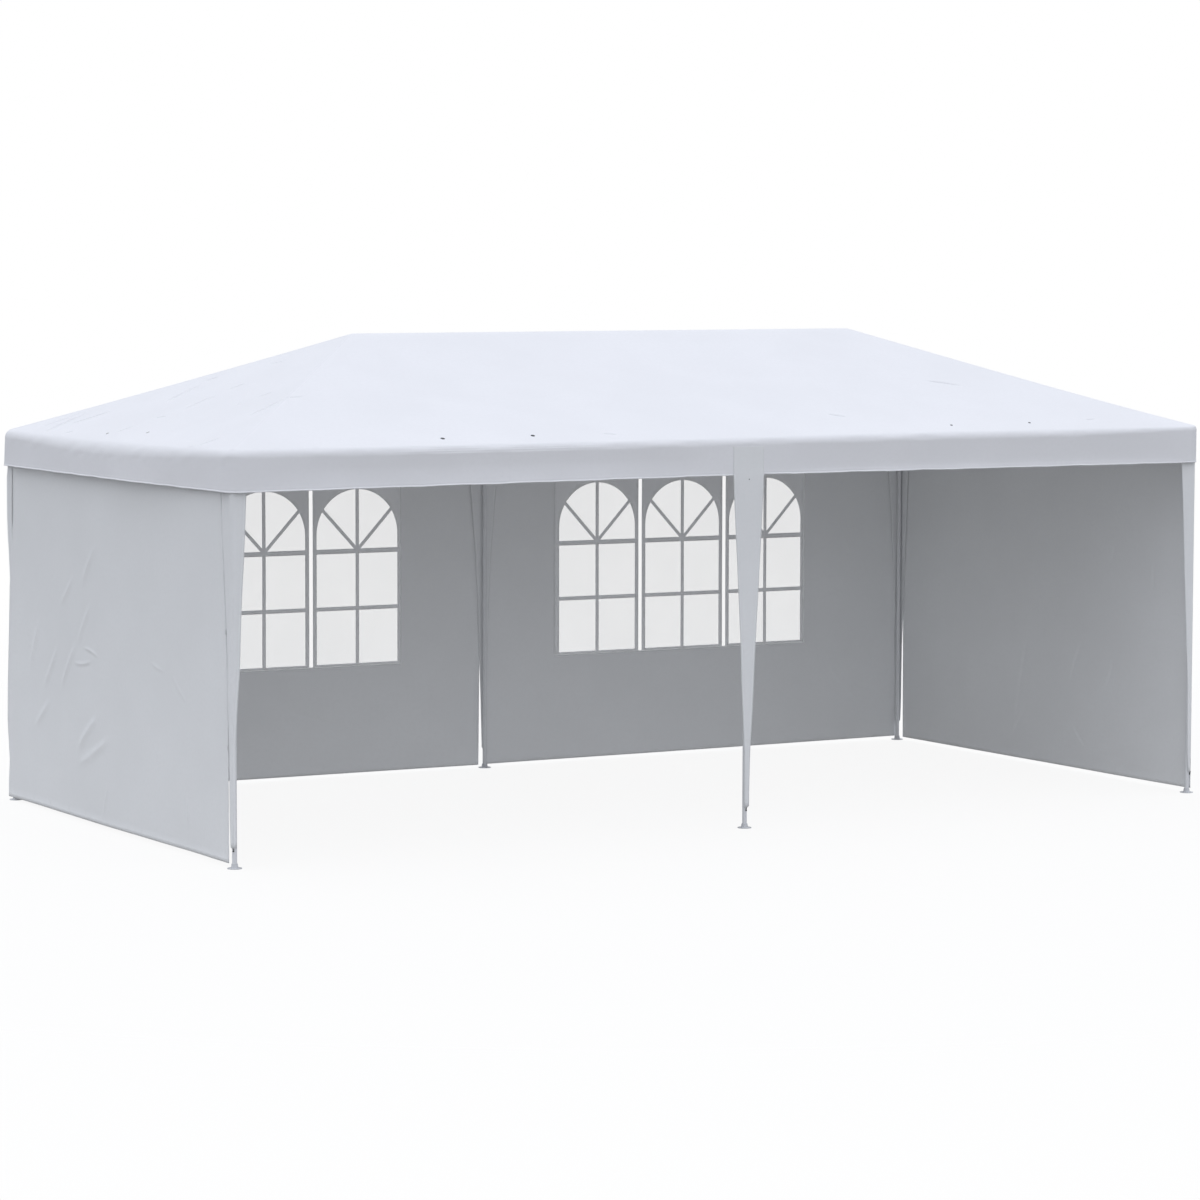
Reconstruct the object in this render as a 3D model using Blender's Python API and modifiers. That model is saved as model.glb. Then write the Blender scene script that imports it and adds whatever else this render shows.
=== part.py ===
"""Party marquee, about 3 m deep and 6 m long.

A white tube frame stands on six disc feet. A hipped fabric roof with a valance covers it,
tapered leg covers hang down the legs, both ends and the rear are closed by hanging walls,
and the rear walls have bands of arched windows behind clear film.

Metres, +Z up. X runs along the length, the open long side faces -Y, and the origin is on
the ground at the centre of the footprint.
"""

import math

import bmesh
import bpy
from mathutils import Vector
from mathutils.geometry import intersect_line_line

# Frame, measured between the axes of the legs
BAY = 2.97
HALF_DEPTH = 1.46
TUBE_RADIUS = 0.0125
SOCKET_RADIUS = 0.0155
SOCKET_LENGTH = 0.070
SOCKET_START = 0.001
HUB_RADIUS = 0.0165

# Feet: a thin disc with a flared collar round the tube
FOOT_RADIUS = 0.037
FOOT_DISC = 0.004
FOOT_RIM = 0.0032
COLLAR_HEIGHT = 0.024
COLLAR_FOOT_RADIUS = 0.0185

# Outer surface of the roof cover and its valance
ROOF_TOP = 2.612
EAVE_BEND = 2.062
RIDGE_HALF = 1.60
VALANCE_BOTTOM = 1.873

# Leg covers, which taper from behind the valance down to the foot
COVER_TOP = 1.95
COVER_FOOT = 0.125
COVER_TOP_HALF = 0.095
COVER_FOOT_HALF = 0.015
COVER_NOTCH = 0.012

# Hanging walls
WALL_FOOT = 0.025
WALL_TOP = 2.055
LEFT_WALL_SPAN = (-1.443, 1.472)
RIGHT_WALL_SPAN = (-1.465, 1.420)
REAR_LEFT_SPAN = (-2.975, -0.033)
REAR_RIGHT_SPAN = (0.0, 2.965)

# Window bands in the rear walls: three arched lights with a clear strip between each two
LEFT_BAND_CENTRE = -1.440
RIGHT_BAND_CENTRE = 1.384
WINDOW_PITCH = 0.600
LIGHT_HALF = 0.263
LIGHT_FOOT = 0.667
LIGHT_SPRING = 1.420
STRIP_HALF = 0.012
BAND_FOOT = 0.655
BAND_TOP = 1.740
FILM_MARGIN = 0.020

# Thicknesses and the clearances between pieces
ROOF_CLOTH = 0.002
WALL_CLOTH = 0.0015
FILM_CLOTH = 0.0008
GAP = 0.0003
SEAT = 0.0004

# Offsets of the cloth layers, out from a leg axis
WALL_IN = HUB_RADIUS + GAP
WALL_OUT = WALL_IN + WALL_CLOTH
COVER_OUT = WALL_OUT + GAP + WALL_CLOTH
VALANCE_IN = COVER_OUT + GAP
VALANCE_OUT = VALANCE_IN + ROOF_CLOTH
HALF_LENGTH_OUT = BAY + VALANCE_OUT
HALF_DEPTH_OUT = HALF_DEPTH + VALANCE_OUT

# Roof slopes, and the drop from the cover's surface to the axis of what carries it
LONG_SLOPE = (ROOF_TOP - EAVE_BEND) / HALF_DEPTH_OUT
END_SLOPE = (ROOF_TOP - EAVE_BEND) / (HALF_LENGTH_OUT - RIDGE_HALF)
AXIS_DROP = ROOF_CLOTH + (HUB_RADIUS + SEAT) * math.hypot(1.0, END_SLOPE)

# Facets
TUBE_SIDES = 16
FOOT_SIDES = 28
HUB_RINGS = 8
ARCH_STEPS = 18
SMOOTH_ANGLE = math.radians(40)

ROWS = (("front", -1), ("rear", 1))
COLUMNS = (("left", -1), ("middle", 0), ("right", 1))
ENDS = (("left", -1), ("right", 1))


def clear_scene():
    for obj in list(bpy.data.objects):
        bpy.data.objects.remove(obj, do_unlink=True)


def new_collection(name):
    collection = bpy.data.collections.new(name)
    bpy.context.scene.collection.children.link(collection)
    return collection


def new_material(name, colour, roughness, metallic=0.0, alpha=1.0):
    material = bpy.data.materials.new(name)
    material.use_nodes = True
    shader = material.node_tree.nodes["Principled BSDF"]
    shader.inputs["Base Color"].default_value = (*colour, 1.0)
    shader.inputs["Roughness"].default_value = roughness
    shader.inputs["Metallic"].default_value = metallic
    shader.inputs["Alpha"].default_value = alpha
    return material


def place(name, mesh, material=None):
    """A visible piece of the marquee."""
    obj = bpy.data.objects.new(name, mesh)
    if material and not mesh.materials:
        mesh.materials.append(material)
    PIECES.objects.link(obj)
    return obj


def place_cutter(name, mesh):
    """A hidden shape that is added to or cut from a piece."""
    obj = bpy.data.objects.new(name, mesh)
    obj.hide_render = True
    obj.display_type = "WIRE"
    CUTTERS.objects.link(obj)
    return obj


def combine(obj, other, operation):
    modifier = obj.modifiers.new(other.name, "BOOLEAN")
    modifier.operation = operation
    modifier.object = other


def mesh_from(bm, name, smooth=False):
    bmesh.ops.recalc_face_normals(bm, faces=bm.faces)
    mesh = bpy.data.meshes.new(name)
    bm.to_mesh(mesh)
    bm.free()
    if smooth:
        mesh.shade_smooth()
        mesh.set_sharp_from_angle(angle=SMOOTH_ANGLE)
    return mesh


def roof_surface(x, y):
    """Height of the roof cover's outer surface."""
    long_side = ROOF_TOP - LONG_SLOPE * abs(y)
    end_side = ROOF_TOP - END_SLOPE * max(0.0, abs(x) - RIDGE_HALF)
    return min(long_side, end_side)


def rod_mesh(name, length, radius):
    bm = bmesh.new()
    bmesh.ops.create_cone(
        bm,
        cap_ends=True,
        segments=TUBE_SIDES,
        radius1=radius,
        radius2=radius,
        depth=length,
    )
    return mesh_from(bm, name, smooth=True)


def lay_along(obj, start, end):
    """Centres an upright rod between two points and turns it to face along them."""
    obj.location = (start + end) / 2
    obj.rotation_euler = (end - start).to_track_quat("Z", "Y").to_euler()


def box(name, low, high, material):
    bm = bmesh.new()
    bmesh.ops.create_cube(bm, size=1.0)
    size = Vector(high) - Vector(low)
    bmesh.ops.scale(bm, vec=size, verts=bm.verts)
    obj = place(name, mesh_from(bm, name), material)
    obj.location = (Vector(low) + Vector(high)) / 2
    return obj


def extruded(bm, corners, thickness):
    """Adds a flat outline, pushed out along a vector into a closed solid."""
    face = bm.faces.new([bm.verts.new(corner) for corner in corners])
    pushed = bmesh.ops.extrude_face_region(bm, geom=[face])
    moved = [item for item in pushed["geom"] if isinstance(item, bmesh.types.BMVert)]
    bmesh.ops.translate(bm, vec=thickness, verts=moved)


def inset(outline, distance):
    """A convex outline, listed anticlockwise, with each edge moved inwards."""
    edges = []
    for start, end in zip(outline, outline[1:] + outline[:1]):
        along = (Vector(end) - Vector(start)).normalized()
        shift = Vector((-along.y, along.x, 0.0)) * distance
        edges.append((Vector(start).to_3d() + shift, Vector(end).to_3d() + shift))
    corners = []
    for before, after in zip(edges[-1:] + edges[:-1], edges):
        corners.append(intersect_line_line(*before, *after)[0])
    return corners


def build_foot(name, x, y):
    """One disc foot, turned from its profile, with a pocket for the leg."""
    bore = TUBE_RADIUS + GAP
    profile = (
        (0.0, FOOT_DISC),
        (bore, FOOT_DISC),
        (bore, COLLAR_HEIGHT),
        (SOCKET_RADIUS, COLLAR_HEIGHT),
        (COLLAR_FOOT_RADIUS, FOOT_DISC * 1.5),
        (COLLAR_FOOT_RADIUS + FOOT_DISC, FOOT_DISC),
        (FOOT_RADIUS - FOOT_DISC, FOOT_DISC),
        (FOOT_RADIUS, FOOT_RIM),
        (FOOT_RADIUS, 0.0),
        (0.0, 0.0),
    )
    mesh = bpy.data.meshes.new(name)
    links = [(index, index + 1) for index in range(len(profile) - 1)]
    mesh.from_pydata([(radius, 0.0, height) for radius, height in profile], links, [])
    obj = place(name, mesh, PLASTIC)
    obj.location = (x, y, 0.0)
    turn = obj.modifiers.new("turn", "SCREW")
    turn.steps = FOOT_SIDES
    turn.render_steps = FOOT_SIDES
    turn.use_merge_vertices = True
    turn.merge_threshold = 0.00001
    return obj


def build_connector(name, hub, targets):
    """A round hub with one socket towards each hub or foot that it is joined to."""
    bm = bmesh.new()
    bmesh.ops.create_uvsphere(bm, u_segments=TUBE_SIDES, v_segments=HUB_RINGS, radius=HUB_RADIUS)
    obj = place(name, mesh_from(bm, name, smooth=True), STEEL)
    obj.location = hub
    for index, target in enumerate(targets):
        away = (target - hub).normalized()
        mesh = rod_mesh(f"{name}_socket", SOCKET_LENGTH - SOCKET_START, SOCKET_RADIUS)
        socket = place_cutter(f"{name}_socket_{index}", mesh)
        lay_along(socket, hub + away * SOCKET_START, hub + away * SOCKET_LENGTH)
        combine(obj, socket, "UNION")


def build_tube(name, start_hub, end_hub):
    """A tube between two hubs, which ends where their sockets end."""
    along = (end_hub - start_hub).normalized()
    start = start_hub + along * (SOCKET_LENGTH + GAP)
    end = end_hub - along * (SOCKET_LENGTH + GAP)
    obj = place(name, rod_mesh(name, (end - start).length, TUBE_RADIUS), STEEL)
    lay_along(obj, start, end)


def build_leg(name, hub):
    foot = Vector((hub.x, hub.y, FOOT_DISC + GAP))
    head = hub - Vector((0.0, 0.0, SOCKET_LENGTH + GAP))
    obj = place(name, rod_mesh(name, (head - foot).length, TUBE_RADIUS), STEEL)
    lay_along(obj, foot, head)


def build_frame():
    eave_height = roof_surface(BAY, HALF_DEPTH) - AXIS_DROP
    ridge_height = ROOF_TOP - AXIS_DROP
    down = Vector((0.0, 0.0, -1.0))
    ridge = {}
    for column, side in COLUMNS:
        ridge[column] = Vector((side * RIDGE_HALF, 0.0, ridge_height))
    eave = {}
    for row, front in ROWS:
        for column, side in COLUMNS:
            eave[row, column] = Vector((side * BAY, front * HALF_DEPTH, eave_height))

    for (row, column), hub in eave.items():
        build_foot(f"foot_{row}_{column}", hub.x, hub.y)
        build_leg(f"leg_{row}_{column}", hub)

    for row, _ in ROWS:
        middle = eave[row, "middle"]
        for column, _ in ENDS:
            corner = eave[row, column]
            across = eave["rear" if row == "front" else "front", column]
            targets = (corner + down, middle, across, ridge[column])
            build_connector(f"corner_connector_{row}_{column}", corner, targets)
            build_tube(f"eave_tube_{row}_{column}", middle, corner)
            build_tube(f"hip_rafter_{row}_{column}", corner, ridge[column])
        targets = (middle + down, eave[row, "left"], eave[row, "right"], ridge["middle"])
        build_connector(f"middle_connector_{row}", middle, targets)
        build_tube(f"middle_rafter_{row}", middle, ridge["middle"])

    for column, _ in ENDS:
        build_tube(f"eave_tube_{column}_end", eave["front", column], eave["rear", column])
        build_tube(f"ridge_tube_{column}", ridge["middle"], ridge[column])
        targets = (ridge["middle"], eave["front", column], eave["rear", column])
        build_connector(f"ridge_connector_{column}", ridge[column], targets)
    targets = (ridge["left"], ridge["right"], eave["front", "middle"], eave["rear", "middle"])
    build_connector("ridge_connector_middle", ridge["middle"], targets)


def build_roof_panel(name, outline):
    """One slope of the roof cover, over its outline in plan."""
    corners = [
        Vector((corner.x, corner.y, roof_surface(corner.x, corner.y)))
        for corner in inset(outline, GAP / 2)
    ]
    bm = bmesh.new()
    extruded(bm, corners, Vector((0.0, 0.0, -ROOF_CLOTH)))
    place(name, mesh_from(bm, name), ROOF_FABRIC)


def build_roof():
    length, depth = HALF_LENGTH_OUT, HALF_DEPTH_OUT
    build_roof_panel(
        "roof_panel_front",
        [(-length, -depth), (length, -depth), (RIDGE_HALF, 0.0), (-RIDGE_HALF, 0.0)],
    )
    build_roof_panel(
        "roof_panel_rear",
        [(length, depth), (-length, depth), (-RIDGE_HALF, 0.0), (RIDGE_HALF, 0.0)],
    )
    build_roof_panel("roof_panel_left", [(-length, depth), (-length, -depth), (-RIDGE_HALF, 0.0)])
    build_roof_panel("roof_panel_right", [(length, -depth), (length, depth), (RIDGE_HALF, 0.0)])


def build_valance():
    """Four strips that hang from the edge of the roof cover and meet at its corners."""
    top = EAVE_BEND - ROOF_CLOTH - GAP
    inner = HALF_DEPTH + VALANCE_IN - GAP
    for row, side in ROWS:
        faces = sorted((side * HALF_DEPTH_OUT, side * (HALF_DEPTH_OUT - ROOF_CLOTH)))
        low = (-HALF_LENGTH_OUT, faces[0], VALANCE_BOTTOM)
        high = (HALF_LENGTH_OUT, faces[1], top)
        box(f"valance_{row}", low, high, ROOF_FABRIC)
    for column, side in ENDS:
        faces = sorted((side * HALF_LENGTH_OUT, side * (HALF_LENGTH_OUT - ROOF_CLOTH)))
        low = (faces[0], -inner, VALANCE_BOTTOM)
        high = (faces[1], inner, top)
        box(f"valance_{column}", low, high, ROOF_FABRIC)


def corner_cover_mesh():
    """A leg cover folded round a corner, from the fold line back along both sides."""
    bm = bmesh.new()
    rows = []
    for height, reach in ((COVER_FOOT, COVER_FOOT_HALF), (COVER_TOP, COVER_TOP_HALF)):
        plan = ((-reach, 0.0), (0.0, 0.0), (0.0, -reach))
        rows.append([bm.verts.new((x, y, height)) for x, y in plan])
    low, high = rows
    for index in range(2):
        bm.faces.new((low[index + 1], low[index], high[index], high[index + 1]))
    mesh = bpy.data.meshes.new("corner_cover")
    bm.to_mesh(mesh)
    bm.free()
    mesh.materials.append(LEG_FABRIC)
    return mesh


def middle_cover_mesh():
    """A flat leg cover with a notched foot, its outer face on the plane through the origin."""
    outline = (
        (-COVER_FOOT_HALF, COVER_FOOT),
        (0.0, COVER_FOOT + COVER_NOTCH),
        (COVER_FOOT_HALF, COVER_FOOT),
        (COVER_TOP_HALF, COVER_TOP),
        (-COVER_TOP_HALF, COVER_TOP),
    )
    bm = bmesh.new()
    corners = [Vector((x, 0.0, height)) for x, height in outline]
    extruded(bm, corners, Vector((0.0, -WALL_CLOTH, 0.0)))
    mesh = mesh_from(bm, "middle_cover")
    mesh.materials.append(LEG_FABRIC)
    return mesh


def build_leg_covers():
    corner_mesh = corner_cover_mesh()
    quarter_turns = {(1, 1): 0, (-1, 1): 1, (-1, -1): 2, (1, -1): 3}
    for row, front in ROWS:
        for column, side in ENDS:
            obj = place(f"leg_cover_{row}_{column}", corner_mesh)
            obj.location = (side * (BAY + COVER_OUT), front * (HALF_DEPTH + COVER_OUT), 0.0)
            obj.rotation_euler.z = quarter_turns[side, front] * math.pi / 2
            shell = obj.modifiers.new("shell", "SOLIDIFY")
            shell.thickness = WALL_CLOTH
            shell.offset = -1.0
            shell.use_even_offset = True
    flat_mesh = middle_cover_mesh()
    for row, front in ROWS:
        obj = place(f"leg_cover_{row}_middle", flat_mesh)
        obj.location = (0.0, front * (HALF_DEPTH + COVER_OUT), 0.0)
        obj.rotation_euler.z = 0.0 if front > 0 else math.pi


def light_outline(centre):
    """The outline of one arched light, in X and Z."""
    outline = [(centre - LIGHT_HALF, LIGHT_FOOT), (centre + LIGHT_HALF, LIGHT_FOOT)]
    for step in range(ARCH_STEPS + 1):
        angle = math.pi * step / ARCH_STEPS
        x = centre + LIGHT_HALF * math.cos(angle)
        outline.append((x, LIGHT_SPRING + LIGHT_HALF * math.sin(angle)))
    return outline


def window_cutter(name, centre):
    """The three lights and two clear strips of one window band."""
    outlines = [light_outline(centre + place_at * WINDOW_PITCH) for place_at in (-1, 0, 1)]
    for place_at in (-0.5, 0.5):
        left = centre + place_at * WINDOW_PITCH - STRIP_HALF
        right = centre + place_at * WINDOW_PITCH + STRIP_HALF
        strip = ((left, BAND_FOOT), (right, BAND_FOOT), (right, BAND_TOP), (left, BAND_TOP))
        outlines.append(strip)
    bm = bmesh.new()
    near = HALF_DEPTH
    through = Vector((0.0, 2 * VALANCE_OUT, 0.0))
    for outline in outlines:
        extruded(bm, [Vector((x, near, height)) for x, height in outline], through)
    return place_cutter(name, mesh_from(bm, name))


def build_rear_wall(column, span, band_centre):
    low = (span[0], HALF_DEPTH + WALL_IN, WALL_FOOT)
    high = (span[1], HALF_DEPTH + WALL_OUT, WALL_TOP)
    wall = box(f"rear_wall_{column}", low, high, WALL_FABRIC)
    combine(wall, window_cutter(f"window_cutter_{column}", band_centre), "DIFFERENCE")

    reach = WINDOW_PITCH + LIGHT_HALF + FILM_MARGIN
    film_face = HALF_DEPTH + WALL_OUT + GAP
    low = (band_centre - reach, film_face, BAND_FOOT - FILM_MARGIN)
    high = (band_centre + reach, film_face + FILM_CLOTH, BAND_TOP + FILM_MARGIN)
    box(f"window_film_{column}", low, high, CLEAR_FILM)


def build_end_wall(column, side, span):
    faces = sorted((side * (BAY + WALL_IN), side * (BAY + WALL_OUT)))
    low = (faces[0], span[0], WALL_FOOT)
    high = (faces[1], span[1], WALL_TOP)
    box(f"end_wall_{column}", low, high, WALL_FABRIC)


clear_scene()
PIECES = new_collection("marquee_tent")
CUTTERS = new_collection("cutters")
CUTTERS.hide_render = True

STEEL = new_material("white_steel", (0.80, 0.81, 0.82), 0.38, metallic=0.1)
PLASTIC = new_material("foot_plastic", (0.62, 0.63, 0.64), 0.55)
ROOF_FABRIC = new_material("roof_fabric", (0.82, 0.84, 0.90), 0.62)
LEG_FABRIC = new_material("leg_cover_fabric", (0.76, 0.78, 0.83), 0.62)
WALL_FABRIC = new_material("wall_fabric", (0.70, 0.72, 0.77), 0.64)
CLEAR_FILM = new_material("clear_film", (0.86, 0.88, 0.90), 0.15, alpha=0.35)

build_frame()
build_roof()
build_valance()
build_leg_covers()
build_end_wall("left", -1, LEFT_WALL_SPAN)
build_end_wall("right", 1, RIGHT_WALL_SPAN)
build_rear_wall("left", REAR_LEFT_SPAN, LEFT_BAND_CENTRE)
build_rear_wall("right", REAR_RIGHT_SPAN, RIGHT_BAND_CENTRE)
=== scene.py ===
import math

import bmesh
import bpy
import numpy as np
from mathutils import Matrix, Vector, kdtree
from mathutils.geometry import delaunay_2d_cdt


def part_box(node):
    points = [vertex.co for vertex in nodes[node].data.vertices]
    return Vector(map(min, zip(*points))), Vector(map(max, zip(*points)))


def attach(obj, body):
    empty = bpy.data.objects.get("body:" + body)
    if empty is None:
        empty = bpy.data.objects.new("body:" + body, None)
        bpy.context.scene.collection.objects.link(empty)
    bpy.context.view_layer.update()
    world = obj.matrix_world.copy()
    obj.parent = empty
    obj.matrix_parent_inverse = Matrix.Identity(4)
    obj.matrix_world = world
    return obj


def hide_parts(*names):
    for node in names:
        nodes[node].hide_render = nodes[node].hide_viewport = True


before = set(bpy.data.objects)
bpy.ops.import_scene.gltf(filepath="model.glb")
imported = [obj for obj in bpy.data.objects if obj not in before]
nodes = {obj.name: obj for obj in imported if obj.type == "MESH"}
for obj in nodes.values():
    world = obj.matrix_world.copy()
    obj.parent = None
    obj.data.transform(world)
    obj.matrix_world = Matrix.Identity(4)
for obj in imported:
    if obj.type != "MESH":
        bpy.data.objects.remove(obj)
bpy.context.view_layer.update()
print("frame loaded:", len(nodes), "CAD nodes")


def middleOf(node):
    low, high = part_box(node)
    return (low + high) / 2


# Where the frame stands, read from the CAD nodes
stand = {
    "legX": middleOf("leg_front_right").x,
    "legY": middleOf("leg_rear_right").y,
    "eaveZ": middleOf("eave_tube_front_right").z,
    "ridgeHalf": middleOf("ridge_connector_right").x,
    "tubeRadius": (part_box("leg_front_middle")[1].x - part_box("leg_front_middle")[0].x) / 2,
}
legX = stand["legX"]
legY = stand["legY"]
eaveZ = stand["eaveZ"]
# each leg's name and the way that it faces along X and Y
legPlaces = [(facing + "_" + side, turnX, turnY) for facing, turnY in (("front", -1), ("rear", 1))
             for side, turnX in (("left", -1), ("middle", 0), ("right", 1))]
farAway = 9.0              # further than any edge of a cloth


# Shader maths: a Wire is an output socket that takes part in sums
class Wire:
    def __init__(self, finish, socket):
        self.finish = finish
        self.socket = socket

    def maths(self, operation, *inputs):
        values = dict(enumerate(inputs))
        return self.finish.wire("ShaderNodeMath", {"operation": operation}, values)

    def __add__(self, other):
        return self.maths("ADD", self, other)

    def __radd__(self, other):
        return self.maths("ADD", other, self)

    def __sub__(self, other):
        return self.maths("SUBTRACT", self, other)

    def __rsub__(self, other):
        return self.maths("SUBTRACT", other, self)

    def __mul__(self, other):
        return self.maths("MULTIPLY", self, other)

    def __rmul__(self, other):
        return self.maths("MULTIPLY", other, self)

    def __truediv__(self, other):
        return self.maths("DIVIDE", self, other)

    def sine(self):
        return self.maths("SINE", self)

    def size(self):
        return self.maths("ABSOLUTE", self)

    def fraction(self):
        return self.maths("FRACT", self)

    def below(self, limit):
        return self.maths("LESS_THAN", self, limit)

    def above(self, limit):
        return self.maths("GREATER_THAN", self, limit)

    def power(self, exponent):
        return self.maths("POWER", self, exponent)

    def ramp(self, start, end, low=0.0, high=1.0):
        # goes smoothly from low to high while the value goes from start to end
        settings = {"interpolation_type": "SMOOTHSTEP"}
        ends = {"Value": self, "From Min": start, "From Max": end, "To Min": low, "To Max": high}
        return self.finish.wire("ShaderNodeMapRange", settings, ends)


class Finish:
    def __init__(self, name, holder=None):
        self.holder = holder or bpy.data.materials.new(name)
        self.holder.use_nodes = True
        self.tree = self.holder.node_tree
        self.tree.nodes.clear()

    def node(self, kind, settings=None, inputs=None):
        made = self.tree.nodes.new(kind)
        for key, value in (settings or {}).items():
            setattr(made, key, value)
        for key, value in (inputs or {}).items():
            if isinstance(value, Wire):
                self.tree.links.new(value.socket, made.inputs[key])
            else:
                made.inputs[key].default_value = value
        return made

    def wire(self, kind, settings=None, inputs=None, output=0):
        return Wire(self, self.node(kind, settings, inputs).outputs[output])

    def mix(self, factor, first, second):
        # colours: first where factor is 0, second where it is 1
        inputs = {0: factor, 6: first, 7: second}
        return self.wire("ShaderNodeMix", {"data_type": "RGBA"}, inputs, 2)

    def noise(self, place, scale, detail, roughness):
        inputs = {"Vector": place, "Scale": scale, "Detail": detail, "Roughness": roughness}
        return self.wire("ShaderNodeTexNoise", None, inputs)

    def uvParts(self, name):
        uv = self.wire("ShaderNodeUVMap", {"uv_map": name})
        parts = self.node("ShaderNodeSeparateXYZ", None, {0: uv})
        return uv, Wire(self, parts.outputs[0]), Wire(self, parts.outputs[1])

    def place(self):
        return self.wire("ShaderNodeTexCoord", None, None, "Object")

    def bump(self, height, distance):
        return self.wire("ShaderNodeBump", None, {"Height": height, "Distance": distance})

    def surface(self, inputs):
        skin = self.wire("ShaderNodeBsdfPrincipled", None, inputs)
        self.node("ShaderNodeOutputMaterial", None, {"Surface": skin})
        return self.holder


def tint(colour, share=1.0):
    return tuple(channel * share for channel in colour) + (1.0,)


# Finishes: a noise is (scale, detail, roughness), and a tone is a share of the finish's colour

# Woven tape sheet with a thin coat: the roof, the walls and the leg covers
cloth = {
    "tape": 0.0024,        # width of one woven tape
    "tapeDepth": 0.00007,
    "under": 0.6,          # height of a tape that passes under another, as a share
    "stitch": 0.0052,      # length of one stitch with its gap
    "stitchShare": 0.72,
    "stitchRows": (0.004, 0.0165),
    "stitchHalf": 0.0007,
    "stitchDepth": 0.0004,
    "stitchTone": 0.82,
    "hemEdge": (0.0203, 0.0190),
    "hemTone": 1.03,
    "broad": (1.7, 3.0, 0.55),
    "broadTones": (0.985, 1.012),
    "fine": (46.0, 3.0, 0.6),
    "fineTone": 0.97,
    "creased": (7.0, 5.0, 0.62),
    "creaseDepth": 0.0009,
}


def coatedCloth(name, colour, roughness):
    c = cloth
    finish = Finish(name)
    uv, along, across = finish.uvParts("cloth")
    run, fromEdge = finish.uvParts("edge")[1:]
    turn = math.pi / c["tape"]
    warp = (along * turn).sine()
    weft = (across * turn).sine()
    over = (warp * weft).above(0.0)
    weave = warp.size() * weft.size() * (c["under"] + (1 - c["under"]) * over)
    dash = (run / c["stitch"]).fraction().below(c["stitchShare"])
    stitches = None
    for row in c["stitchRows"]:
        near = (fromEdge - row).size().below(c["stitchHalf"])
        stitches = near * dash if stitches is None else stitches + near * dash
    broad = finish.noise(uv, *c["broad"]).ramp(0.3, 0.7)
    fine = finish.noise(uv, *c["fine"])
    creased = finish.noise(uv, *c["creased"])
    base = finish.mix(broad, *(tint(colour, tone) for tone in c["broadTones"]))
    base = finish.mix(fine.ramp(0.35, 0.75, 0.0, 0.5), base, tint(colour, c["fineTone"]))
    base = finish.mix(fromEdge.ramp(*c["hemEdge"]) * 0.55, base, tint(colour, c["hemTone"]))
    base = finish.mix(stitches * 0.5, base, tint(colour, c["stitchTone"]))
    relief = finish.wire("ShaderNodeBump", None, {
        "Height": weave * (c["tapeDepth"] / c["stitchDepth"]) + stitches,
        "Distance": c["stitchDepth"],
        "Normal": finish.bump(creased, c["creaseDepth"]),
    })
    return finish.surface({
        "Base Color": base,
        "Roughness": roughness + (creased - 0.5) * 0.12 + fine * 0.06,
        "Specular IOR Level": 0.22,
        "Normal": relief,
    })


# White powder coat with faint orange peel and a few dull rubbed marks
coat = {
    "peel": (420.0, 2.0, 0.5),
    "peelDepth": 0.00012,
    "rubbed": (34.0, 5.0, 0.7),
    "rubbedTone": 0.86,
    "cloudy": (5.0, 2.0, 0.5),
    "cloudyTones": (0.985, 1.01),
}


def powderCoat(name, colour, roughness):
    c = coat
    finish = Finish(name)
    place = finish.place()
    peel = finish.noise(place, *c["peel"])
    rubbed = finish.noise(place, *c["rubbed"]).ramp(0.60, 0.74)
    cloudy = finish.noise(place, *c["cloudy"])
    base = finish.mix(cloudy, *(tint(colour, tone) for tone in c["cloudyTones"]))
    base = finish.mix(rubbed * 0.35, base, tint(colour, c["rubbedTone"]))
    return finish.surface({
        "Base Color": base,
        "Roughness": roughness + rubbed * 0.16 + (cloudy - 0.5) * 0.06,
        "Specular IOR Level": 0.5,
        "Normal": finish.bump(peel, c["peelDepth"]),
    })


# Grained moulded plastic: the feet, and the small dark hooks
plastic = {
    "pits": (900.0, 2.0, 0.6),
    "pitDepth": 0.00016,
    "dust": (60.0, 4.0, 0.65),
    "dustTone": 0.88,
}


def mouldedPlastic(name, colour, roughness):
    finish = Finish(name)
    place = finish.place()
    pits = finish.noise(place, *plastic["pits"])
    dust = finish.noise(place, *plastic["dust"]).ramp(0.52, 0.75)
    return finish.surface({
        "Base Color": finish.mix(dust * 0.4, tint(colour), tint(colour, plastic["dustTone"])),
        "Roughness": roughness + dust * 0.12,
        "Specular IOR Level": 0.4,
        "Normal": finish.bump(pits, plastic["pitDepth"]),
    })


# Plated metal, worn in places: the eyelet rings and the press stud
plating = {
    "brushed": (700.0, 3.0, 0.6),
    "brushDepth": 0.00005,
    "worn": (160.0, 3.0, 0.6),
    "wornTone": 0.8,
    "roughness": 0.26,
}


def platedMetal(name, colour):
    finish = Finish(name)
    place = finish.place()
    brushed = finish.noise(place, *plating["brushed"])
    worn = finish.noise(place, *plating["worn"]).ramp(0.5, 0.8)
    return finish.surface({
        "Base Color": finish.mix(worn, tint(colour), tint(colour, plating["wornTone"])),
        "Metallic": 1.0,
        "Roughness": plating["roughness"] + worn * 0.2,
        "Normal": finish.bump(brushed, plating["brushDepth"]),
    })


# Soft clear film: a little milky, with slow waves from being rolled up
film = {
    "colour": (0.86, 0.88, 0.90),
    "paneAlpha": 0.155,
    "stripAlpha": 0.055,
    "roughness": 0.10,
    "waves": (5.5, 3.0, 0.5),
    "waveDepth": 0.006,
    "haze": (2.2, 3.0, 0.6),
    "hazeTones": (0.97, 1.02),
}


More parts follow.
